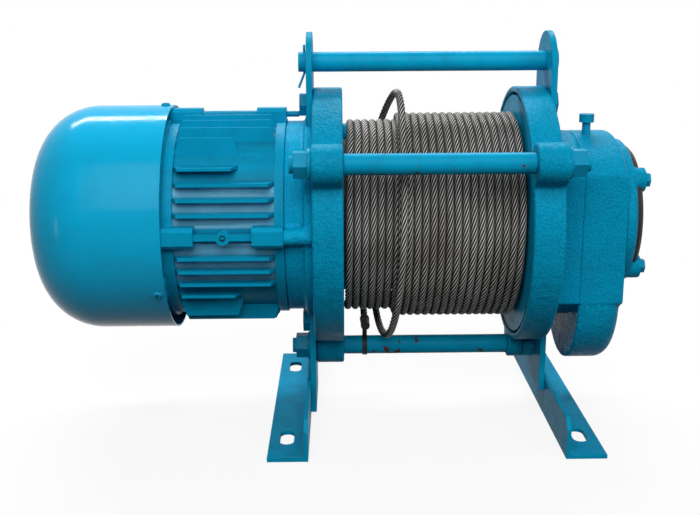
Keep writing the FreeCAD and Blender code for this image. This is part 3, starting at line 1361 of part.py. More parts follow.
save("terminal_box_lid", terminal_box_lid())
save("terminal_box_screws", *[terminal_screw(x, z) for x, z in terminal_screw_places()])
save("cable_gland", cable_gland())
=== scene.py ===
import math

import bmesh
import bpy
import numpy as np
from mathutils import Matrix, Vector


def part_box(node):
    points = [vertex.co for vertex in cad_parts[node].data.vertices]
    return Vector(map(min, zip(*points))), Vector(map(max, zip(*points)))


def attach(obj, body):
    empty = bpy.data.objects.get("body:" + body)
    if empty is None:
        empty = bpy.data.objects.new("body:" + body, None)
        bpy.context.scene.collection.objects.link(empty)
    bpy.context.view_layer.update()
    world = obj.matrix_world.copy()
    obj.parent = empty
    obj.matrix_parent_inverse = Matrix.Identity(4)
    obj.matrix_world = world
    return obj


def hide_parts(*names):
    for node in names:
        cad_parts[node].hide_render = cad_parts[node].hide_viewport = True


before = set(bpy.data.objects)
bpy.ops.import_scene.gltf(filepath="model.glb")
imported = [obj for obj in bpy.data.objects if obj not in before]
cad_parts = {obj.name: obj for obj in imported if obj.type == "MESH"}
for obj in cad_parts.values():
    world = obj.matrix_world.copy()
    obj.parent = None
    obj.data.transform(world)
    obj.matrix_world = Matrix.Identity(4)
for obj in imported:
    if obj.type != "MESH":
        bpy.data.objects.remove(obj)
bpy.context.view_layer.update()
scene = bpy.context.scene

# Feet: two lengths of 40 mm angle iron with slots for the floor bolts.
# Rolled steel, cut and punched, then welded to the side plates and sprayed blue with the whole winch.
FOOT_EDGE = 0.0007
EASED_SEGMENTS = 2
SHARP_ANGLE = math.radians(35)
FLAT_ANGLE = math.radians(1)
MERGE_REACH = 2e-6
DEEP_BLUE = (0.001, 0.225, 0.390, 1)
FRESH_BLUE = (0.002, 0.285, 0.490, 1)
# Dark for grime, and for the painted shade in the hollows
GRIME_AND_HOLLOW_SHADE = (0.008, 0.060, 0.085, 1)
RUSTY_CHIP = (0.095, 0.045, 0.042, 1)
CHIP_ROUGHNESS = (0.8, 0.8, 0.8, 1)
CHIP_SCALE = 90.0
CHIP_BLUR = 0.012
NOISE_RANGE = (0.3, 0.7)
COAT_SCALE = 8.0
COAT_RANGE = (0.35, 0.65)
COAT_SHARE = (0.3, 0.7)
GRAIN_TONE = 900
BROAD_GRAIN = 0.22
GRIME_SCALE = 45.0
GRIME_RANGE = (0.50, 0.78)
HOLLOW_RANGE = (0.48, 0.44)
# Painted shade: how much the hollows are darkened
HOLLOW_SHADE = 0.55
GLOSS_SCALE = 120.0
GLOSS_SMOOTHER = 0.06
GLOSS_ROUGHER = 0.08


def put(tree, kind, inputs=None, **settings):
    # Add a node, set its options, and fill or link its inputs
    node = tree.nodes.new(kind)
    for key, value in settings.items():
        setattr(node, key, value)
    for key, value in (inputs or {}).items():
        if isinstance(value, bpy.types.NodeSocket):
            tree.links.new(value, node.inputs[key])
        else:
            node.inputs[key].default_value = value
    return node


def mixed(tree, share, low, high):
    return put(tree, "ShaderNodeMix", {0: share, 6: low, 7: high}, data_type="RGBA").outputs[2]


def stretch(tree, value, low, high, to_low=0.0, to_high=1.0):
    ends = {0: value, 1: low, 2: high, 3: to_low, 4: to_high}
    return put(tree, "ShaderNodeMapRange", ends).outputs[0]


def noise(tree, where, scale, detail=3.0):
    return put(tree, "ShaderNodeTexNoise", {"Vector": where, "Scale": scale, "Detail": detail}).outputs[0]


def sums(tree, how, first, second=0.0):
    return put(tree, "ShaderNodeMath", {0: first, 1: second}, operation=how).outputs[0]


def new_finish(name, metallic, shine):
    finish = bpy.data.materials.new(name)
    finish.use_nodes = True
    shader = finish.node_tree.nodes["Principled BSDF"]
    shader.inputs["Metallic"].default_value = metallic
    shader.inputs["Specular IOR Level"].default_value = shine
    where = put(finish.node_tree, "ShaderNodeTexCoord").outputs["Object"]
    return finish, finish.node_tree, shader, where


def end_finish(tree, shader, colour, gloss, height, strength, depth):
    # Every finish ends in a colour, a roughness, and a fine relief
    bump = put(tree, "ShaderNodeBump", {"Height": height, "Strength": strength, "Distance": depth})
    tree.links.new(colour, shader.inputs["Base Color"])
    tree.links.new(gloss, shader.inputs["Roughness"])
    tree.links.new(bump.outputs[0], shader.inputs["Normal"])


def blue_enamel(name, grain, grain_size, roughness, chip_level, shine, dirt, tone=1.0,
                dust_and_light=None, rubbed=None):
    # Sprayed enamel: drifting tone, the metal's grain under it, grime, painted shade in hollows, chips down
    # to rust.
    # tone scales the colour, a layer may add dust, painted light and shade; rubbed says where it chips more.
    finish, tree, shader, where = new_finish(name, 0.0, shine)
    fine = noise(tree, where, 1.0 / grain_size, 2.0)
    drift = sums(tree, "ADD", stretch(tree, noise(tree, where, COAT_SCALE), *COAT_RANGE, *COAT_SHARE),
                 stretch(tree, fine, *NOISE_RANGE, -GRAIN_TONE * grain, GRAIN_TONE * grain))
    coats = [[tone * part for part in shade[:3]] + [1] for shade in (DEEP_BLUE, FRESH_BLUE)]
    colour = mixed(tree, drift, *coats)
    if dust_and_light:
        colour = dust_and_light(tree, where, colour)
    grime = stretch(tree, noise(tree, where, GRIME_SCALE, 6.0), *GRIME_RANGE, 0.0, dirt)
    colour = mixed(tree, grime, colour, GRIME_AND_HOLLOW_SHADE)
    # Painted shade: darker where the surface curves inwards, in hollows and inner corners
    corners = put(tree, "ShaderNodeNewGeometry").outputs["Pointiness"]
    colour = mixed(tree, stretch(tree, corners, *HOLLOW_RANGE, 0.0, HOLLOW_SHADE), colour, GRIME_AND_HOLLOW_SHADE)
    spots = noise(tree, where, CHIP_SCALE, 8.0)
    if rubbed:
        spots = sums(tree, "ADD", spots, rubbed(tree, where))
    chip = stretch(tree, spots, chip_level, chip_level + CHIP_BLUR)
    colour = mixed(tree, chip, colour, RUSTY_CHIP)
    gloss = stretch(tree, noise(tree, where, GLOSS_SCALE, 4.0), *NOISE_RANGE,
                    roughness - GLOSS_SMOOTHER, roughness + GLOSS_ROUGHER)
    broad = noise(tree, where, BROAD_GRAIN / grain_size, 2.0)
    height = sums(tree, "SUBTRACT", sums(tree, "ADD", fine, broad), chip)
    end_finish(tree, shader, colour, mixed(tree, chip, gloss, CHIP_ROUGHNESS), height, 1.0, grain)
    return finish


def placed(name, content):
    piece = bpy.data.objects.new(name, content)
    scene.collection.objects.link(piece)
    return piece


def copy_of(node, name):
    # A merged copy of a solid, with its flat faces made whole
    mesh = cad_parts[node].data.copy()
    mesh.name = name
    mesh.materials.clear()
    if "custom_normal" in mesh.attributes:
        mesh.attributes.remove(mesh.attributes["custom_normal"])
    shape = bmesh.new()
    shape.from_mesh(mesh)
    bmesh.ops.remove_doubles(shape, verts=shape.verts, dist=MERGE_REACH)
    bmesh.ops.dissolve_limit(shape, angle_limit=FLAT_ANGLE, verts=shape.verts, edges=shape.edges)
    shape.to_mesh(mesh)
    shape.free()
    return placed(name, mesh)


def settle(piece):
    # Turn the modified shape into a plain mesh
    depsgraph = bpy.context.evaluated_depsgraph_get()
    mesh = bpy.data.meshes.new_from_object(piece.evaluated_get(depsgraph), preserve_all_data_layers=True,
                                           depsgraph=depsgraph)
    piece.modifiers.clear()
    piece.data = mesh
    mesh.name = piece.name
    return piece


def eased(piece, width):
    # Break the sharp edges as a file or a roll does
    bevel = piece.modifiers.new("eased_edges", "BEVEL")
    bevel.width = width
    bevel.segments = EASED_SEGMENTS
    bevel.limit_method = "ANGLE"
    bevel.angle_limit = SHARP_ANGLE
    piece.data.shade_smooth()
    weighted = piece.modifiers.new("flat_faces", "WEIGHTED_NORMAL")
    weighted.keep_sharp = True
    return settle(piece)


def dress(piece, finish, body, slot, *nodes):
    # Paint a piece, fix it to a body, and hide the solids it stands for; slot is not used
    piece.data.materials.clear()
    piece.data.materials.append(finish)
    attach(piece, body)
    if nodes:
        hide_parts(*nodes)


rolled_enamel = blue_enamel("rolled_enamel", grain=0.00010, grain_size=0.0018, roughness=0.38,
                            chip_level=0.735, shine=0.02, dirt=0.30)
for side in ("left", "right"):
    foot = eased(copy_of(side + "_foot", side + "_angle_foot"), FOOT_EDGE)
    dress(foot, rolled_enamel, "frame", "blue_paint", side + "_foot")

# Side plates: flat bars with rounded tops that rise from the feet and carry the hanger bar.
# Flame-cut mild steel with ground edges, under the same blue enamel, bolted to the flanges.
PLATE_EDGE = 0.0008
for side in ("left", "right"):
    plate = eased(copy_of(side + "_side_plate", side + "_hanger_plate"), PLATE_EDGE)
    dress(plate, rolled_enamel, "frame", "blue_paint", side + "_side_plate")

# Foot welds: a bead along the top of each foot's upright leg, where it meets the side plate.
# Weld metal laid by hand in overlapping ripples, then painted over.
WELD_RIPPLE = 0.0022
WELD_UNEVEN = 0.12
WELD_SEED = 4
WELD_SEGMENTS = 20
WELD_RINGS = 12
WELD_VOXEL = 0.0005
WELD_PASSES = 2
FETTLE_FACTOR = 0.5


def loose_solids(node):
    # The corners of each separate solid of a node, from left to right
    shape = bmesh.new()
    shape.from_mesh(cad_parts[node].data)
    bmesh.ops.remove_doubles(shape, verts=shape.verts, dist=MERGE_REACH)
    waiting = set(shape.verts)
    solids = []
    while waiting:
        island = {waiting.pop()}
        edge_of_island = list(island)
        while edge_of_island:
            vertex = edge_of_island.pop()
            near = {edge.other_vert(vertex) for edge in vertex.link_edges} - island
            island |= near
            edge_of_island += near
        waiting -= island
        solids.append(np.array([vertex.co for vertex in island]))
    shape.free()
    return sorted(solids, key=lambda spots: tuple(spots.min(axis=0)))


def skinned(piece, voxel, passes):
    # One closed skin over the piece, with every corner rounded off a little
    skin = piece.modifiers.new("skin", "REMESH")
    skin.mode = "VOXEL"
    skin.voxel_size = voxel
    skin.use_smooth_shade = True
    fettle = piece.modifiers.new("fettle", "SMOOTH")
    fettle.factor = FETTLE_FACTOR
    fettle.iterations = passes
    return settle(piece)


def new_tree(name, **sockets):
    # A Geometry Nodes tree with named inputs and one geometry output
    tree = bpy.data.node_groups.new(name, "GeometryNodeTree")
    for label, kind in sockets.items():
        tree.interface.new_socket(label.replace("_", " "), in_out="INPUT", socket_type="NodeSocket" + kind)
    tree.interface.new_socket("Geometry", in_out="OUTPUT", socket_type="NodeSocketGeometry")
    return tree, tree.nodes.new("NodeGroupInput").outputs


def end_tree(tree, shape, finish):
    # Every tree ends in real, smooth geometry with its finish on
    smooth = put(tree, "GeometryNodeSetShadeSmooth", {"Geometry": shape}).outputs[0]
    whole = put(tree, "GeometryNodeRealizeInstances", {"Geometry": smooth}).outputs[0]
    painted = put(tree, "GeometryNodeSetMaterial", {"Geometry": whole, "Material": finish}).outputs[0]
    put(tree, "NodeGroupOutput", {0: painted})


def grown(name, tree, mesh=None, **values):
    # A new piece that a tree makes from these inputs, kept as a plain mesh
    piece = placed(name, mesh or bpy.data.meshes.new(name))
    modifier = piece.modifiers.new(tree.name, "NODES")
    modifier.node_group = tree
    for item in tree.interface.items_tree:
        key = item.name.replace(" ", "_")
        if item.in_out == "INPUT" and key in values:
            modifier[item.identifier] = values[key]
    return settle(piece)


def weld_tree():
    # Blobs of uneven size along a line
    tree, given = new_tree("weld_bead", From="Vector", To="Vector", Radius="Float", Ripple="Float",
                           Finish="Material")
    line = put(tree, "GeometryNodeCurvePrimitiveLine", {"Start": given["From"],
                                                        "End": given["To"]}).outputs[0]
    steps = put(tree, "GeometryNodeResampleCurve", {"Curve": line, "Length": given["Ripple"]},
                mode="LENGTH").outputs[0]
    blob = put(tree, "GeometryNodeMeshUVSphere", {"Segments": WELD_SEGMENTS, "Rings": WELD_RINGS,
                                                  "Radius": given["Radius"]}).outputs[0]
    size = put(tree, "FunctionNodeRandomValue", {2: 1.0 - WELD_UNEVEN, 3: 1.0, "Seed": WELD_SEED}).outputs[1]
    beads = put(tree, "GeometryNodeInstanceOnPoints", {"Points": steps, "Instance": blob,
                                                       "Scale": size}).outputs[0]
    solid = put(tree, "GeometryNodeRealizeInstances", {"Geometry": beads}).outputs[0]
    end_tree(tree, solid, given["Finish"])
    return tree


weld_bead = weld_tree()
for side, spots in zip(("left", "right"), loose_solids("foot_welds")):
    low, high = Vector(spots.min(axis=0)), Vector(spots.max(axis=0))
    radius = max(high.x - low.x, high.z - low.z) / 2
    middle = (low + high) / 2
    bead = grown(side + "_weld_bead", weld_bead, From=(middle.x, low.y + radius, middle.z),
                 To=(middle.x, high.y - radius, middle.z), Radius=radius, Ripple=WELD_RIPPLE,
                 Finish=rolled_enamel)
    dress(skinned(bead, WELD_VOXEL, WELD_PASSES), rolled_enamel, "frame", "blue_paint", "foot_welds")

# Drum flanges: two thick castings with a ring over each drum cheek and eyes for the tie rods.
# Grey iron out of a sand mould, with rounded corners and a grainy skin under the enamel.
FLANGE_VOXEL = 0.0016
CAST_PASSES = 3
cast_enamel = blue_enamel("cast_enamel", grain=0.00090, grain_size=0.0021, roughness=0.32,
                          chip_level=0.755, shine=0.02, dirt=0.20)
for side in ("left", "right"):
    flange = skinned(copy_of(side + "_flange", side + "_cast_flange"), FLANGE_VOXEL, CAST_PASSES)
    dress(flange, cast_enamel, "frame", "blue_paint", side + "_flange")

# Tie rods: three 20 mm rods between the flanges, with M16 ends, hexagon nuts and plain washers.
# Turned bar with cut threads, painted in place, so the paint is chipped where the rope has rubbed.
# The hexagon bolts of the side plates are painted with them.
ROD_EDGE = 0.0004
THREAD_PITCH = 0.0020
THREAD_R = 0.0077
THREAD_RIDGE = 0.0005
THREAD_POINTS = 40
THREAD_FACES = 8
RUB_PLACE = -0.033
RUB_REACH = 0.030
RUB_WEAR = 0.055
barrel_low, barrel_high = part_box("drum_barrel")
AXIS = (barrel_low + barrel_high) / 2


def rope_rub(tree, where):
    # More wear near the place along the drum where the slack rope crosses the rods
    along = put(tree, "ShaderNodeSeparateXYZ", {0: where}).outputs[0]
    off = sums(tree, "ABSOLUTE", sums(tree, "SUBTRACT", along, AXIS.x + RUB_PLACE))
    return stretch(tree, off, 0.0, RUB_REACH, RUB_WEAR, 0.0)


def helix_along(tree, points, turns, radius, length, place):
    # A helix that starts at a place and winds along the drum's direction
    spiral = put(tree, "GeometryNodeCurveSpiral", {"Resolution": points, "Rotations": turns, "Height": length,
                                                   "Start Radius": radius, "End Radius": radius}).outputs[0]
    return put(tree, "GeometryNodeTransform", {"Geometry": spiral, "Translation": place,
                                               "Rotation": (0, math.pi / 2, 0)}).outputs[0]


def thread_tree():
    # The ridge of a screw thread on the end of a rod
    tree, given = new_tree("screw_thread", Length="Float", Pitch="Float", Radius="Float", Ridge="Float",
                           Place="Vector", Finish="Material")
    turns = sums(tree, "DIVIDE", given["Length"], given["Pitch"])
    helix = helix_along(tree, THREAD_POINTS, turns, given["Radius"], given["Length"], given["Place"])
    section = put(tree, "GeometryNodeCurvePrimitiveCircle", {"Resolution": THREAD_FACES,
                                                             "Radius": given["Ridge"]}).outputs[0]
    ridge = put(tree, "GeometryNodeCurveToMesh", {"Curve": helix, "Profile Curve": section,
                                                  "Fill Caps": True}).outputs[0]
    end_tree(tree, ridge, given["Finish"])
    return tree


def painted_fasteners(*nodes):
    for node in nodes:
        fasteners = eased(copy_of(node, "painted_" + node), ROD_EDGE)
        dress(fasteners, fastener_enamel, "frame", "blue_paint", node)


rubbed_enamel = blue_enamel("rubbed_enamel", grain=0.00008, grain_size=0.0015, roughness=0.34,
                            chip_level=0.650, shine=0.03, dirt=0.30, tone=1.12, rubbed=rope_rub)
fastener_enamel = blue_enamel("fastener_enamel", grain=0.00006, grain_size=0.0012, roughness=0.34,
                              chip_level=0.720, shine=0.06, dirt=0.35)
rod_boxes = {place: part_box(place + "_tie_rod") for place in ("front", "rear", "bottom")}
for place in rod_boxes:
    rod = eased(copy_of(place + "_tie_rod", place + "_frame_rod"), ROD_EDGE)
    dress(rod, rubbed_enamel, "frame", "blue_paint", place + "_tie_rod")
screw_thread = thread_tree()
for spots in loose_solids("tie_rod_nuts"):
    low, high = Vector(spots.min(axis=0)), Vector(spots.max(axis=0))
    middle = (low + high) / 2
    place = min(rod_boxes, key=lambda rod: (sum(rod_boxes[rod], Vector()) / 2 - middle).yz.length)
    rod_low, rod_high = rod_boxes[place]
    side, start, end = ("right", high.x, rod_high.x) if middle.x > AXIS.x else ("left", rod_low.x, low.x)
    if end - start > THREAD_PITCH:
        thread = grown(f"{place}_rod_{side}_thread", screw_thread, Length=end - start - 2 * THREAD_RIDGE,
                       Pitch=THREAD_PITCH, Radius=THREAD_R, Ridge=THREAD_RIDGE,
                       Place=(start + THREAD_RIDGE, middle.y, middle.z), Finish=rubbed_enamel)
        dress(thread, rubbed_enamel, "frame", "blue_paint")
painted_fasteners("tie_rod_nuts", "tie_rod_washers", "side_plate_bolts")

# Drum: the barrel under the rope and two end discs, whose hollow journals run in the flanges' bearings.
# Cast and turned iron; the barrel is bare and the discs are painted. Ground steel bearings, a rubber seal.
TURNED_LINE = 0.0006
METAL_SHINE = 0.12
METAL_DRIFT_SCALE = 30.0
METAL_GLOSS_SCALE = 150.0
METAL_SMOOTHER = 0.08
METAL_ROUGHER = 0.10
METAL_GRAIN_SCALE = 600.0
METAL_RELIEF = 0.6


def bare_metal(name, dark, light, metallic, roughness, grain, turned=False):
    # Metal or moulded stuff without paint: drifting tone, uneven shine, fine grain or turning lines
    finish, tree, shader, where = new_finish(name, metallic, METAL_SHINE)
    drift = stretch(tree, noise(tree, where, METAL_DRIFT_SCALE, 5.0), *NOISE_RANGE)
    gloss = stretch(tree, noise(tree, where, METAL_GLOSS_SCALE, 4.0), *NOISE_RANGE,
                    roughness - METAL_SMOOTHER, roughness + METAL_ROUGHER)
    height = noise(tree, where, METAL_GRAIN_SCALE)
    if turned:
        along = put(tree, "ShaderNodeSeparateXYZ", {0: where}).outputs[0]
        lines = sums(tree, "SINE", sums(tree, "MULTIPLY", along, 2 * math.pi / TURNED_LINE))
        height = sums(tree, "ADD", height, lines)
    end_finish(tree, shader, mixed(tree, drift, dark, light), gloss, height, METAL_RELIEF, grain)
    return finish


def finish_nodes(finish, *nodes):
    # These solids keep their own shape and get a finish
    for node in nodes:
        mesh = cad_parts[node].data
        mesh.materials.clear()
        mesh.materials.append(finish)


drum_iron = bare_metal("drum_iron", dark=(0.10, 0.09, 0.08, 1), light=(0.19, 0.18, 0.17, 1),
                       metallic=0.6, roughness=0.5, grain=0.00010, turned=True)
machined_steel = bare_metal("machined_steel", dark=(0.40, 0.40, 0.40, 1), light=(0.56, 0.55, 0.54, 1),
                            metallic=1.0, roughness=0.30, grain=0.00002, turned=True)
seal_rubber = bare_metal("seal_rubber", dark=(0.012, 0.012, 0.012, 1), light=(0.022, 0.022, 0.022, 1),
                         metallic=0.0, roughness=0.65, grain=0.00006)
finish_nodes(drum_iron, "drum_barrel")
finish_nodes(rolled_enamel, "drum_left_end", "drum_right_end")
finish_nodes(machined_steel, "left_drum_bearing", "right_drum_bearing")
finish_nodes(seal_rubber, "drum_seal")

# Rope winding: four layers of wire rope; the third shows at the left and the fourth covers the rest.
# Eight strands of drawn steel wire, laid right-handed, dull, with grease and painted shade in the grooves
# between them.
ROPE_R = 0.00385
ROPE_PITCH = 0.0077
ROPE_LAY = 0.0540
ROPE_STRANDS = 8
STRAND_DEPTH = 0.22
LAYER_RISE = 0.006668
BARREL_R = 0.0792
LOWER_COIL_R = BARREL_R + 2 * LAYER_RISE + ROPE_R
UPPER_COIL_R = LOWER_COIL_R + LAYER_RISE
LOWER_TURNS = 8.5
UPPER_TURNS = 8.0
BARE_TURNS = 7
CHEEK_GAP = 0.001
ROPE_LEFT = barrel_low.x + CHEEK_GAP + ROPE_R
UPPER_LEFT = ROPE_LEFT + (BARE_TURNS - 0.5) * ROPE_PITCH
POINTS_ROUND = 49
ROPE_STEP = 0.0027
COIL_POINTS = 180
COIL_WANDER = 0.0004
WANDER_SCALE = 16.0
SEAM_REACH = 1e-6
ROPE_WIRE = (0.640, 0.632, 0.610, 1)
ROPE_TARNISH = (0.350, 0.338, 0.312, 1)
# Near-black for the grooves and between the turns: grease, and painted shade
ROPE_GREASE_AND_SHADE = (0.004, 0.004, 0.004, 1)
ROPE_METALLIC = 0.10
ROPE_SHINE = 0.04
ROPE_ROUGHNESS = (0.36, 0.58)
ROPE_ROUGHNESS_SCALE = 260.0
TARNISH_SCALE = 22.0
TARNISH_RANGE = (0.35, 0.70)
GROOVE_RANGE = (0.99, 0.68)
BETWEEN_TURNS = (0.55, 0.92)
PIT_SCALE = 700.0
PIT_STRENGTH = 0.5
PIT_DEPTH = 0.00008


def strand_crown(tree, around):
    # 1 on the crown of each strand and 0 in the grooves, from the share of the way round the rope
    wave = sums(tree, "COSINE", sums(tree, "MULTIPLY", around, math.pi * ROPE_STRANDS))
    return sums(tree, "ABSOLUTE", wave)


def marked(tree, shape, name, value):
    return put(tree, "GeometryNodeStoreNamedAttribute", {"Geometry": shape, "Name": name, "Value": value},
               data_type="FLOAT", domain="POINT").outputs[0]


def wire_rope_tree():
    # Eight strands twisted along a curve; keeps the place along and around for the finish
    tree, given = new_tree("wire_rope", Curve="Geometry", Rope_radius="Float", Lay="Float", Step="Float",
                           Finish="Material")
    even = put(tree, "GeometryNodeResampleCurve", {"Curve": given["Curve"], "Length": given["Step"]},
               mode="LENGTH").outputs[0]
    along = put(tree, "GeometryNodeSplineParameter").outputs["Length"]
    twist = sums(tree, "MULTIPLY", sums(tree, "DIVIDE", along, given["Lay"]), 2 * math.pi)
    twisted = put(tree, "GeometryNodeSetCurveTilt", {"Curve": even, "Tilt": twist}).outputs[0]
    ring = put(tree, "GeometryNodeCurveArc", {"Resolution": POINTS_ROUND, "Radius": given["Rope radius"],
                                              "Sweep Angle": 2 * math.pi}, mode="RADIUS").outputs[0]
    around = put(tree, "GeometryNodeSplineParameter").outputs["Factor"]
    dip = sums(tree, "MULTIPLY", sums(tree, "SUBTRACT", strand_crown(tree, around), 1.0), STRAND_DEPTH)
    spot = put(tree, "GeometryNodeInputPosition").outputs[0]
    inward = put(tree, "ShaderNodeVectorMath", {0: spot, "Scale": dip}, operation="SCALE").outputs[0]
    strands = put(tree, "GeometryNodeSetPosition", {"Geometry": marked(tree, ring, "around", around),
                                                    "Offset": inward}).outputs[0]
    rope = put(tree, "GeometryNodeCurveToMesh", {"Curve": marked(tree, twisted, "along", along),
                                                 "Profile Curve": strands}).outputs[0]
    end_tree(tree, rope, given["Finish"])
    return tree


def coil_tree(rope_tree):
    # A coil about the drum axis, with turns that wander a little, made of wire rope
    tree, given = new_tree("rope_coil", Turns="Float", Coil_radius="Float", Pitch="Float", Place="Vector",
                           Finish="Material")
    width = sums(tree, "MULTIPLY", given["Turns"], given["Pitch"])
    coil = helix_along(tree, COIL_POINTS, given["Turns"], given["Coil radius"], width, given["Place"])
    sway = put(tree, "ShaderNodeTexNoise", {"Scale": WANDER_SCALE, "Detail": 1.0}).outputs[0]
    aside = stretch(tree, sway, *NOISE_RANGE, -COIL_WANDER, COIL_WANDER)
    shove = put(tree, "ShaderNodeCombineXYZ", {0: aside}).outputs[0]
    loose = put(tree, "GeometryNodeSetPosition", {"Geometry": coil, "Offset": shove}).outputs[0]
    rope = put(tree, "GeometryNodeGroup", {"Curve": loose, "Rope radius": ROPE_R, "Lay": ROPE_LAY,
                                           "Step": ROPE_STEP, "Finish": given["Finish"]}, node_tree=rope_tree)
    end_tree(tree, rope.outputs[0], given["Finish"])
    return tree


def sew_rope(piece):
    # Turn the stored places into a UV map, close the seam, and cap the ends
    mesh = piece.data
    places = {}
    for label in ("around", "along"):
        places[label] = np.zeros(len(mesh.vertices), np.float32)
        mesh.attributes[label].data.foreach_get("value", places[label])
    corners = np.zeros(len(mesh.loops), np.int32)
    mesh.loops.foreach_get("vertex_index", corners)
    uv = np.stack([places["around"][corners], places["along"][corners]], axis=1)
    mesh.uv_layers.new(name="UVMap").data.foreach_set("uv", uv.ravel())
    for label in places:
        mesh.attributes.remove(mesh.attributes[label])
    shape = bmesh.new()
    shape.from_mesh(mesh)
    bmesh.ops.remove_doubles(shape, verts=shape.verts, dist=SEAM_REACH)
    open_edges = [edge for edge in shape.edges if edge.is_boundary]
    bmesh.ops.holes_fill(shape, edges=open_edges, sides=0)
    bmesh.ops.recalc_face_normals(shape, faces=shape.faces)
    shape.to_mesh(mesh)
    shape.free()
    return piece


def rope_finish():
    # Bright on the crowns of the strands, black with grease and painted shade in the grooves and between the
    # turns, fine pits
    finish, tree, shader, where = new_finish("wire_rope_steel", ROPE_METALLIC, ROPE_SHINE)
    on_rope = put(tree, "ShaderNodeUVMap", uv_map="UVMap").outputs[0]
    around = put(tree, "ShaderNodeSeparateXYZ", {0: on_rope}).outputs[0]
    tarnish = stretch(tree, noise(tree, where, TARNISH_SCALE, 5.0), *TARNISH_RANGE)
    facing = put(tree, "ShaderNodeNewGeometry").outputs["Normal"]
    sideways = sums(tree, "ABSOLUTE", put(tree, "ShaderNodeSeparateXYZ", {0: facing}).outputs[0])
    # Grease and painted shade: near-black in the strands' grooves, and on faces turned along the drum, where
    # turns meet
    grease_and_shade = sums(tree, "MAXIMUM", stretch(tree, strand_crown(tree, around), *GROOVE_RANGE),
                  stretch(tree, sideways, *BETWEEN_TURNS))
    colour = mixed(tree, grease_and_shade, mixed(tree, tarnish, ROPE_WIRE, ROPE_TARNISH), ROPE_GREASE_AND_SHADE)
    gloss = stretch(tree, noise(tree, where, ROPE_ROUGHNESS_SCALE), *NOISE_RANGE, *ROPE_ROUGHNESS)
    end_finish(tree, shader, colour, gloss, noise(tree, where, PIT_SCALE), PIT_STRENGTH, PIT_DEPTH)
    return finish


rope_steel = rope_finish()
wire_rope = wire_rope_tree()
rope_coil = coil_tree(wire_rope)
coils = (("lower_rope_layer", LOWER_TURNS, LOWER_COIL_R, ROPE_LEFT),
         ("upper_rope_left", UPPER_TURNS, UPPER_COIL_R, UPPER_LEFT),
         ("upper_rope_right", UPPER_TURNS, UPPER_COIL_R, UPPER_LEFT + UPPER_TURNS * ROPE_PITCH))
for name, turns, radius, start in coils:
    coil = grown(name, rope_coil, Turns=turns, Coil_radius=radius, Pitch=ROPE_PITCH, Place=(start, 0, AXIS.z),
                 Finish=rope_steel)
    dress(sew_rope(coil), rope_steel, "drum", "rope_steel", "rope_winding")

# Slack rope end: the last turn hangs slack, under the drum, up the front, over the top and down behind.
# The same wire rope, ending in a shrunk sleeve and strapped to the bottom tie rod.
RODS_INNER_R = 0.135
ON_PACK = UPPER_COIL_R + 2 * ROPE_R
ON_RODS = RODS_INNER_R - ROPE_R
MM = 0.001
LINE_ORDER = 3
LINE_STEPS = 24
# Its route: degrees round the drum from the front over the top, mm along the axis from the drum's middle,
# and how far out, from 0 on the rope pack to 1 on the tie rods
SLACK_ROUTE = [
    (180, -58, -0.14), (205, -58, 0.0), (235, -56, 0.35), (265, -50, 0.99),
    (295, -42, 1.04), (325, -35, 0.53), (352, -31.5, 0.25), (380, -30.5, 0.25),
    (408, -30.5, 0.39), (436, -30.5, 0.99), (462, -33.5, 0.99), (490, -45, 0.56),
    (520, -58, 0.40), (548, -65.5, 0.33), (575, -67, 0.30), (598, -67, 0.3),
    (617, -66.5, 0.35), (634, -66, 0.3),
]


def slack_point(degrees, along, out):
    angle = math.radians(degrees)
    radius = ON_PACK + out * (ON_RODS - ON_PACK)
    return Vector((AXIS.x + along * MM, -radius * math.cos(angle), AXIS.z + radius * math.sin(angle)))


def smooth_line(name, route):
    # The NURBS line with the route's points as its control points, as a chain of edges
    curve = bpy.data.curves.new(name, "CURVE")
    curve.dimensions = "3D"
    curve.resolution_u = LINE_STEPS
    spline = curve.splines.new("NURBS")
    spline.points.add(len(route) - 1)
    for point, spot in zip(spline.points, route):
        point.co = (*spot, 1)
    spline.order_u = LINE_ORDER
    spline.use_endpoint_u = True
    holder = placed(name, curve)
    depsgraph = bpy.context.evaluated_depsgraph_get()
    chain = bpy.data.meshes.new_from_object(holder.evaluated_get(depsgraph))
    bpy.data.objects.remove(holder)
    return chain


def rope_on_line_tree(rope_tree):
    # Wire rope along a chain of edges
    tree, given = new_tree("rope_on_line", Line="Geometry", Rope_radius="Float", Lay="Float", Step="Float",
                           Finish="Material")
    curve = put(tree, "GeometryNodeMeshToCurve", {0: given["Line"]}).outputs[0]
    sizes = {label: given[label] for label in ("Rope radius", "Lay", "Step", "Finish")}
    rope = put(tree, "GeometryNodeGroup", {"Curve": curve, **sizes}, node_tree=rope_tree)
    end_tree(tree, rope.outputs[0], given["Finish"])
    return tree


slack_line = smooth_line("slack_line", [slack_point(*stop) for stop in SLACK_ROUTE])
slack_rope = grown("slack_rope", rope_on_line_tree(wire_rope), slack_line, Rope_radius=ROPE_R, Lay=ROPE_LAY,
                   Step=ROPE_STEP, Finish=rope_steel)
dress(sew_rope(slack_rope), rope_steel, "frame", "rope_steel", "rope_tail")

# Rope tie and sleeve: a strap from the bottom rod to the rope, and the sleeve shrunk on the rope's end.
# Black plastic, drawn tight and left slightly shiny.
black_plastic = bare_metal("black_plastic", dark=(0.012, 0.012, 0.013, 1), light=(0.026, 0.026, 0.027, 1),
                           metallic=0.0, roughness=0.45, grain=0.00005)
finish_nodes(black_plastic, "rope_tie", "rope_end_ferrule")

# Gear train: the drive shaft through the drum, the countershaft, and the gear on the drum's journal.
# Cut and ground steel on ball bearings, hidden in the drum and in the closed case.
finish_nodes(machined_steel, "drive_shaft", "drive_shaft_bearing", "countershaft", "countershaft_bearings",
             "intermediate_gear", "output_gear")

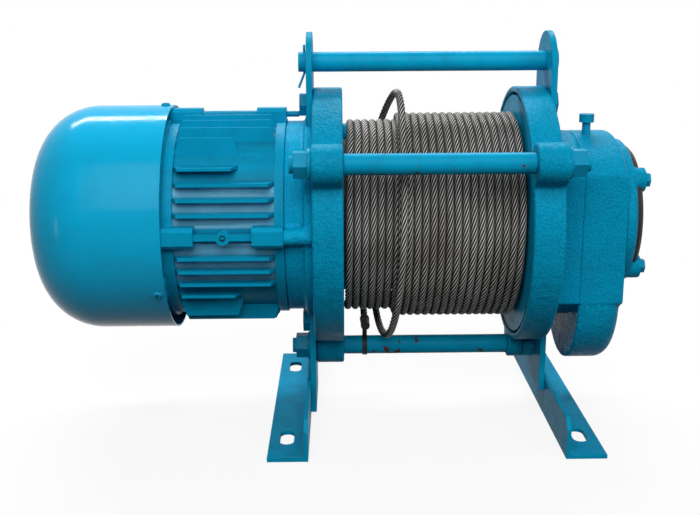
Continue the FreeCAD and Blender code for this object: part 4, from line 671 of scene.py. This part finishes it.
# Gear case: two cast halves with a round sump at the bottom, and an end cover with four bolted bosses.
# Grey iron with a grainy skin under the enamel, held by zinc bolts through the right flange.
# A turned breather on top is painted with it, and a black moulded cap lies on the end cover.
CASE_VOXEL = 0.0015
for node, name in (("gear_case_inner", "inner_gear_case"), ("gear_case_outer", "outer_gear_case"),
                   ("end_cover", "gear_end_cover")):
    dress(skinned(copy_of(node, name), CASE_VOXEL, CAST_PASSES), cast_enamel, "frame", "blue_paint", node)
zinc_plate = bare_metal("zinc_plate", dark=(0.42, 0.43, 0.44, 1), light=(0.62, 0.62, 0.60, 1),
                        metallic=0.9, roughness=0.34, grain=0.00004)
painted_fasteners("end_cover_bolts", "breather_plug")
finish_nodes(zinc_plate, "gear_case_bolts")
finish_nodes(black_plastic, "end_cap")

# Motor: the finned body of the brake motor, the shields at its two ends and the studs along it.
# Cast iron with draft on its fins, stud lugs at the front, top and back, and pale dust and painted light
# between the fins.
# Inside are pressed laminations, enamelled copper and a ground shaft on two bearings.
FIN_EDGE = 0.0008
SHIELD_VOXEL = 0.0015
# Bright blue for the gaps between the fins: dust, and painted light where the fins shade them
GAP_DUST_AND_LIGHT = (0.300, 0.740, 0.980, 1)
GAP_MARK_REACH = 0.0985
GAP_MARK_BLUR = 0.002
GAP_MARK_BAND = (0.050, 0.048)
GAP_MARK_OFF_RIB = (0.006, 0.008)
GAP_MARK_SCALE = 30.0
GAP_MARK_SHARE = (0.65, 1.0)
# Near-black for the eye of the front rib: painted shade in the hole
EYE_HOLE_SHADE = (0.004, 0.012, 0.016, 1)
EYE_MOUTH_R = 0.0029
EYE_MOUTH_BLUR = 0.0003
FRONT_RANGE = (0.001, -0.001)
motor_low, motor_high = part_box("motor_frame")
EYE_X = (motor_low.x + motor_high.x) / 2


def off_line(tree, where, place, across):
    # How far a spot lies from a line through a place; across is 0 along the line and 1 across it
    shift = [-part * share for part, share in zip(place, across)]
    moved = put(tree, "ShaderNodeMapping", {"Vector": where, "Location": shift, "Scale": across}).outputs[0]
    return put(tree, "ShaderNodeVectorMath", {0: moved}, operation="LENGTH").outputs["Value"]


def dust_light_and_eye_shade(tree, where, colour):
    # Dust with painted light low in the gaps, off the rib and the corners, and painted shade in the front
    # rib's eye
    _, aside, above = put(tree, "ShaderNodeSeparateXYZ", {0: where}).outputs
    above_axis = sums(tree, "SUBTRACT", above, AXIS.z)
    off_rib = sums(tree, "MINIMUM", sums(tree, "ABSOLUTE", aside), sums(tree, "ABSOLUTE", above_axis))
    reach = off_line(tree, where, AXIS, (0, 1, 1))
    gaps = sums(tree, "MULTIPLY", stretch(tree, off_rib, *GAP_MARK_BAND), stretch(tree, off_rib, *GAP_MARK_OFF_RIB))
    deep = sums(tree, "MULTIPLY", stretch(tree, reach, GAP_MARK_REACH, GAP_MARK_REACH - GAP_MARK_BLUR), gaps)
    patchy = stretch(tree, noise(tree, where, GAP_MARK_SCALE, 4.0), *NOISE_RANGE, *GAP_MARK_SHARE)
    # Painted light with dust: the gaps between the fins are lightened towards a bright blue
    colour = mixed(tree, sums(tree, "MULTIPLY", deep, patchy), colour, GAP_DUST_AND_LIGHT)
    off_eye = off_line(tree, where, (EYE_X, AXIS.y, AXIS.z), (1, 0, 1))
    in_eye = sums(tree, "MULTIPLY", stretch(tree, off_eye, EYE_MOUTH_R + EYE_MOUTH_BLUR, EYE_MOUTH_R),
                  stretch(tree, aside, *FRONT_RANGE))
    # Painted shade: the eye of the front rib is made near-black
    return mixed(tree, in_eye, colour, EYE_HOLE_SHADE)


finned_enamel = blue_enamel("finned_enamel", grain=0.00020, grain_size=0.0018, roughness=0.36,
                            chip_level=0.76, shine=0.03, dirt=0.20, tone=1.1, dust_and_light=dust_light_and_eye_shade)
# A lighter copy of the cast enamel, tone 1.3: painted light on the front shield
shield_enamel = blue_enamel("shield_enamel", grain=0.00090, grain_size=0.0021, roughness=0.32,
                            chip_level=0.755, shine=0.02, dirt=0.20, tone=1.3)
copper_wire = bare_metal("copper_wire", dark=(0.36, 0.12, 0.05, 1), light=(0.58, 0.22, 0.10, 1),
                         metallic=0.8, roughness=0.38, grain=0.00015)
finish_nodes(machined_steel, "motor_shaft", "motor_front_bearing", "motor_rear_bearing", "rotor_core",
             "stator_core")
finish_nodes(copper_wire, "stator_winding")
motor = eased(copy_of("motor_frame", "finned_motor_frame"), FIN_EDGE)
dress(motor, finned_enamel, "frame", "blue_paint", "motor_frame")
shield = skinned(copy_of("motor_front_shield", "front_motor_shield"), SHIELD_VOXEL, CAST_PASSES)
dress(shield, shield_enamel, "frame", "blue_paint", "motor_front_shield")
finish_nodes(cast_enamel, "motor_rear_shield")
painted_fasteners("motor_studs")

# Brake and fan: a spring brake with a magnet to lift it, and the fan on the tail of the motor's shaft.
# Machined steel, a moulded friction lining, zinc studs and springs, and a black moulded fan.
brake_lining = bare_metal("brake_lining", dark=(0.055, 0.045, 0.038, 1), light=(0.095, 0.080, 0.068, 1),
                          metallic=0.0, roughness=0.85, grain=0.00012)
finish_nodes(machined_steel, "brake_magnet", "brake_armature")
finish_nodes(brake_lining, "brake_disc")
finish_nodes(zinc_plate, "brake_studs", "brake_springs")
finish_nodes(black_plastic, "cooling_fan")

# Fan cowl: one deep-drawn sheet over the fan and the brake, held by three screws round its mouth.
# Smooth steel sheet with a thicker and glossier coat of the enamel.
# The screws are cold-formed, with a cross recess driven into each head.
RECESS_DEPTH = 0.0011
RECESS_WIDE = 1.25
RECESS_NARROW = 0.30


def cross_headed(node, name, aim):
    # The node's screws with a cross sunk in each head; aim says which way a screw at a place faces
    piece = eased(copy_of(node, name), ROD_EDGE / 2)
    crosses = bmesh.new()
    for spots in loose_solids(node):
        middle = Vector((spots.min(axis=0) + spots.max(axis=0)) / 2)
        way = aim(middle).normalized()
        top = max((Vector(spot) - middle).dot(way) for spot in spots)
        radius = max((Vector(spot) - middle).cross(way).length for spot in spots)
        seat = Matrix.Translation(middle + way * top) @ way.to_track_quat("Z", "X").to_matrix().to_4x4()
        for wide, tall in ((RECESS_WIDE, RECESS_NARROW), (RECESS_NARROW, RECESS_WIDE)):
            bar = Matrix.Diagonal((wide * radius, tall * radius, 2 * RECESS_DEPTH, 1))
            bmesh.ops.create_cube(crosses, size=1, matrix=seat @ bar)
    mesh = bpy.data.meshes.new("crosses")
    crosses.to_mesh(mesh)
    crosses.free()
    cutter = placed("crosses", mesh)
    recess = piece.modifiers.new("recess", "BOOLEAN")
    recess.object = cutter
    recess.solver = "EXACT"
    recess.use_self = True
    settle(piece)
    bpy.data.objects.remove(cutter)
    return piece


cowl_enamel = blue_enamel("cowl_enamel", grain=0.00003, grain_size=0.0060, roughness=0.14,
                          chip_level=0.79, shine=0.055, dirt=0.10, tone=1.38)
cowl = copy_of("fan_cowl", "fan_cowl_shell")
cowl.data.shade_smooth()
cowl.data.set_sharp_from_angle(angle=SHARP_ANGLE)
dress(cowl, cowl_enamel, "frame", "cowl_paint", "fan_cowl")
cowl_screws = cross_headed("cowl_screws", "painted_cowl_screws",
                           lambda spot: Vector((0, spot.y, spot.z - AXIS.z)))
dress(cowl_screws, fastener_enamel, "frame", "blue_paint", "cowl_screws")

# Terminal box: a box with a screwed lid on the back of the motor, and the gland for the supply cable.
# Pressed sheet, painted with the motor; zinc screws, and a moulded gland.
BOX_EDGE = 0.0012
for node in ("terminal_box", "terminal_box_lid"):
    dress(eased(copy_of(node, "painted_" + node), BOX_EDGE), rolled_enamel, "frame", "blue_paint", node)
lid_screws = cross_headed("terminal_box_screws", "zinc_lid_screws", lambda spot: Vector((0, 1, 0)))
dress(lid_screws, zinc_plate, "frame", "zinc_steel", "terminal_box_screws")
finish_nodes(black_plastic, "cable_gland")

# Hanger bar: a thick bar through the tops of the plates, free to turn, kept by a split pin.
# Drawn round bar and soft wire, painted with the frame.
# A lighter copy of the frame's enamel, tone 1.22: painted light standing in for the shine along the bar's top
bar_enamel = blue_enamel("bar_enamel", grain=0.00006, grain_size=0.0015, roughness=0.30,
                         chip_level=0.745, shine=0.04, dirt=0.25, tone=1.22)
for node in ("hanger_bar", "split_pin"):
    dress(eased(copy_of(node, "painted_" + node), ROD_EDGE), bar_enamel, "hanger_bar", "blue_paint", node)

# Floor and background: a plain white floor that keeps a soft shadow under the winch.
# White to the camera and in reflections, and dark to other light, so that little of it reaches the paint.
FLOOR_HALF = 6
FLOOR_DROP = -0.0002
FLOOR_BOUNCE = (0.03, 0.03, 0.03, 1)
FLOOR_WHITE = (0.85, 0.85, 0.85, 1)
PLAIN_WHITE = (1, 1, 1, 1)
SHADOW_REACH = (0.28, 0.55)
GLOW_SHARE = (0.86, 1.0)
SKY_TONE = (0.92, 0.96, 1.0, 1)
SKY_STRENGTH = 0.05


def seen_rays(tree):
    # 1 for rays that show the background, straight, in a reflection or through glass
    rays = put(tree, "ShaderNodeLightPath").outputs
    mirrored = sums(tree, "MAXIMUM", rays["Is Camera Ray"], rays["Is Glossy Ray"])
    return sums(tree, "MAXIMUM", mirrored, rays["Is Transmission Ray"])


def white_ground():
    # Matt near the winch, where its shadow falls, and plain white further off
    ground = bpy.data.materials.new("white_ground")
    ground.use_nodes = True
    tree = ground.node_tree
    tree.nodes.remove(tree.nodes["Principled BSDF"])
    seen = seen_rays(tree)
    where = put(tree, "ShaderNodeTexCoord").outputs["Object"]
    away = put(tree, "ShaderNodeVectorMath", {0: where}, operation="LENGTH").outputs["Value"]
    tone = mixed(tree, seen, FLOOR_BOUNCE, FLOOR_WHITE)
    matt = put(tree, "ShaderNodeBsdfDiffuse", {"Color": tone}).outputs[0]
    glow = put(tree, "ShaderNodeEmission", {"Color": PLAIN_WHITE, "Strength": 1.0}).outputs[0]
    share = sums(tree, "MULTIPLY", seen, stretch(tree, away, *SHADOW_REACH, *GLOW_SHARE))
    both = put(tree, "ShaderNodeMixShader", {0: share, 1: matt, 2: glow}).outputs[0]
    tree.links.new(both, tree.nodes["Material Output"].inputs["Surface"])
    return ground


floor_corners = [(x, y, FLOOR_DROP) for x, y in ((-FLOOR_HALF, -FLOOR_HALF), (FLOOR_HALF, -FLOOR_HALF),
                                                 (FLOOR_HALF, FLOOR_HALF), (-FLOOR_HALF, FLOOR_HALF))]
floor_mesh = bpy.data.meshes.new("studio_floor")
floor_mesh.from_pydata(floor_corners, [], [(0, 1, 2, 3)])
floor = placed("studio_floor", floor_mesh)
floor.data.materials.append(white_ground())

world = bpy.data.worlds.new("studio")
scene.world = world
world.use_nodes = True
air = world.node_tree
sky = air.nodes["Background"]
sky.inputs["Color"].default_value = SKY_TONE
sky.inputs["Strength"].default_value = SKY_STRENGTH
white = put(air, "ShaderNodeBackground", {"Color": PLAIN_WHITE, "Strength": 1.0})
both = put(air, "ShaderNodeMixShader", {0: seen_rays(air), 1: sky.outputs[0], 2: white.outputs[0]})
air.links.new(both.outputs[0], air.nodes["World Output"].inputs["Surface"])

# Light and camera: a large soft lamp above the front, a strip behind for the shine on top, and two fills.
# The camera stands in front of the winch, slightly higher than its top.
LENS = 50.70
SENSOR_WIDTH = 36
CAMERA_PLACE = Vector((AXIS.x - 0.0924, -1.0238, 0.4215))
CAMERA_PITCH = 0.2454
CAMERA_YAW = 0.0106
CAMERA_ROLL = -0.0060


def lamp(name, place, target, size, watts, colour):
    light = bpy.data.lights.new(name, "AREA")
    light.shape = "RECTANGLE"
    light.size, light.size_y = size
    light.energy = watts
    light.color = colour
    holder = placed(name, light)
    holder.location = place
    holder.rotation_euler = (Vector(target) - Vector(place)).to_track_quat("-Z", "Y").to_euler()


lamp("key_softbox", place=(-0.05, -1.36, 1.38), target=(0, 0, 0.2), size=(1.3, 1.5), watts=31.5,
     colour=(1, 0.99, 0.97))
lamp("rear_strip", place=(-0.2, 0.95, 1.45), target=(-0.1, 0, 0.25), size=(1.8, 0.16), watts=34,
     colour=(1, 1, 1))
lamp("left_window", place=(-1.30, -0.75, 0.10), target=(-0.2, 0, 0.2), size=(0.15, 0.5), watts=1.5,
     colour=(1, 1, 1))
lamp("right_fill", place=(1.3, -0.9, 0.7), target=(0, 0, 0.2), size=(0.7, 0.7), watts=6,
     colour=(0.97, 0.99, 1))

view = bpy.data.cameras.new("view")
view.sensor_width = SENSOR_WIDTH
view.lens = LENS
camera = placed("view", view)
level = Vector((math.cos(CAMERA_YAW), -math.sin(CAMERA_YAW), 0))
ahead = Vector((math.sin(CAMERA_YAW), math.cos(CAMERA_YAW), 0))
forward = math.cos(CAMERA_PITCH) * ahead - Vector((0, 0, math.sin(CAMERA_PITCH)))
right = math.cos(CAMERA_ROLL) * level + math.sin(CAMERA_ROLL) * level.cross(forward)
turn = Matrix((right, right.cross(forward), -forward)).transposed().to_4x4()
camera.matrix_world = Matrix.Translation(CAMERA_PLACE) @ turn
scene.camera = camera
scene.view_settings.view_transform = "Standard"
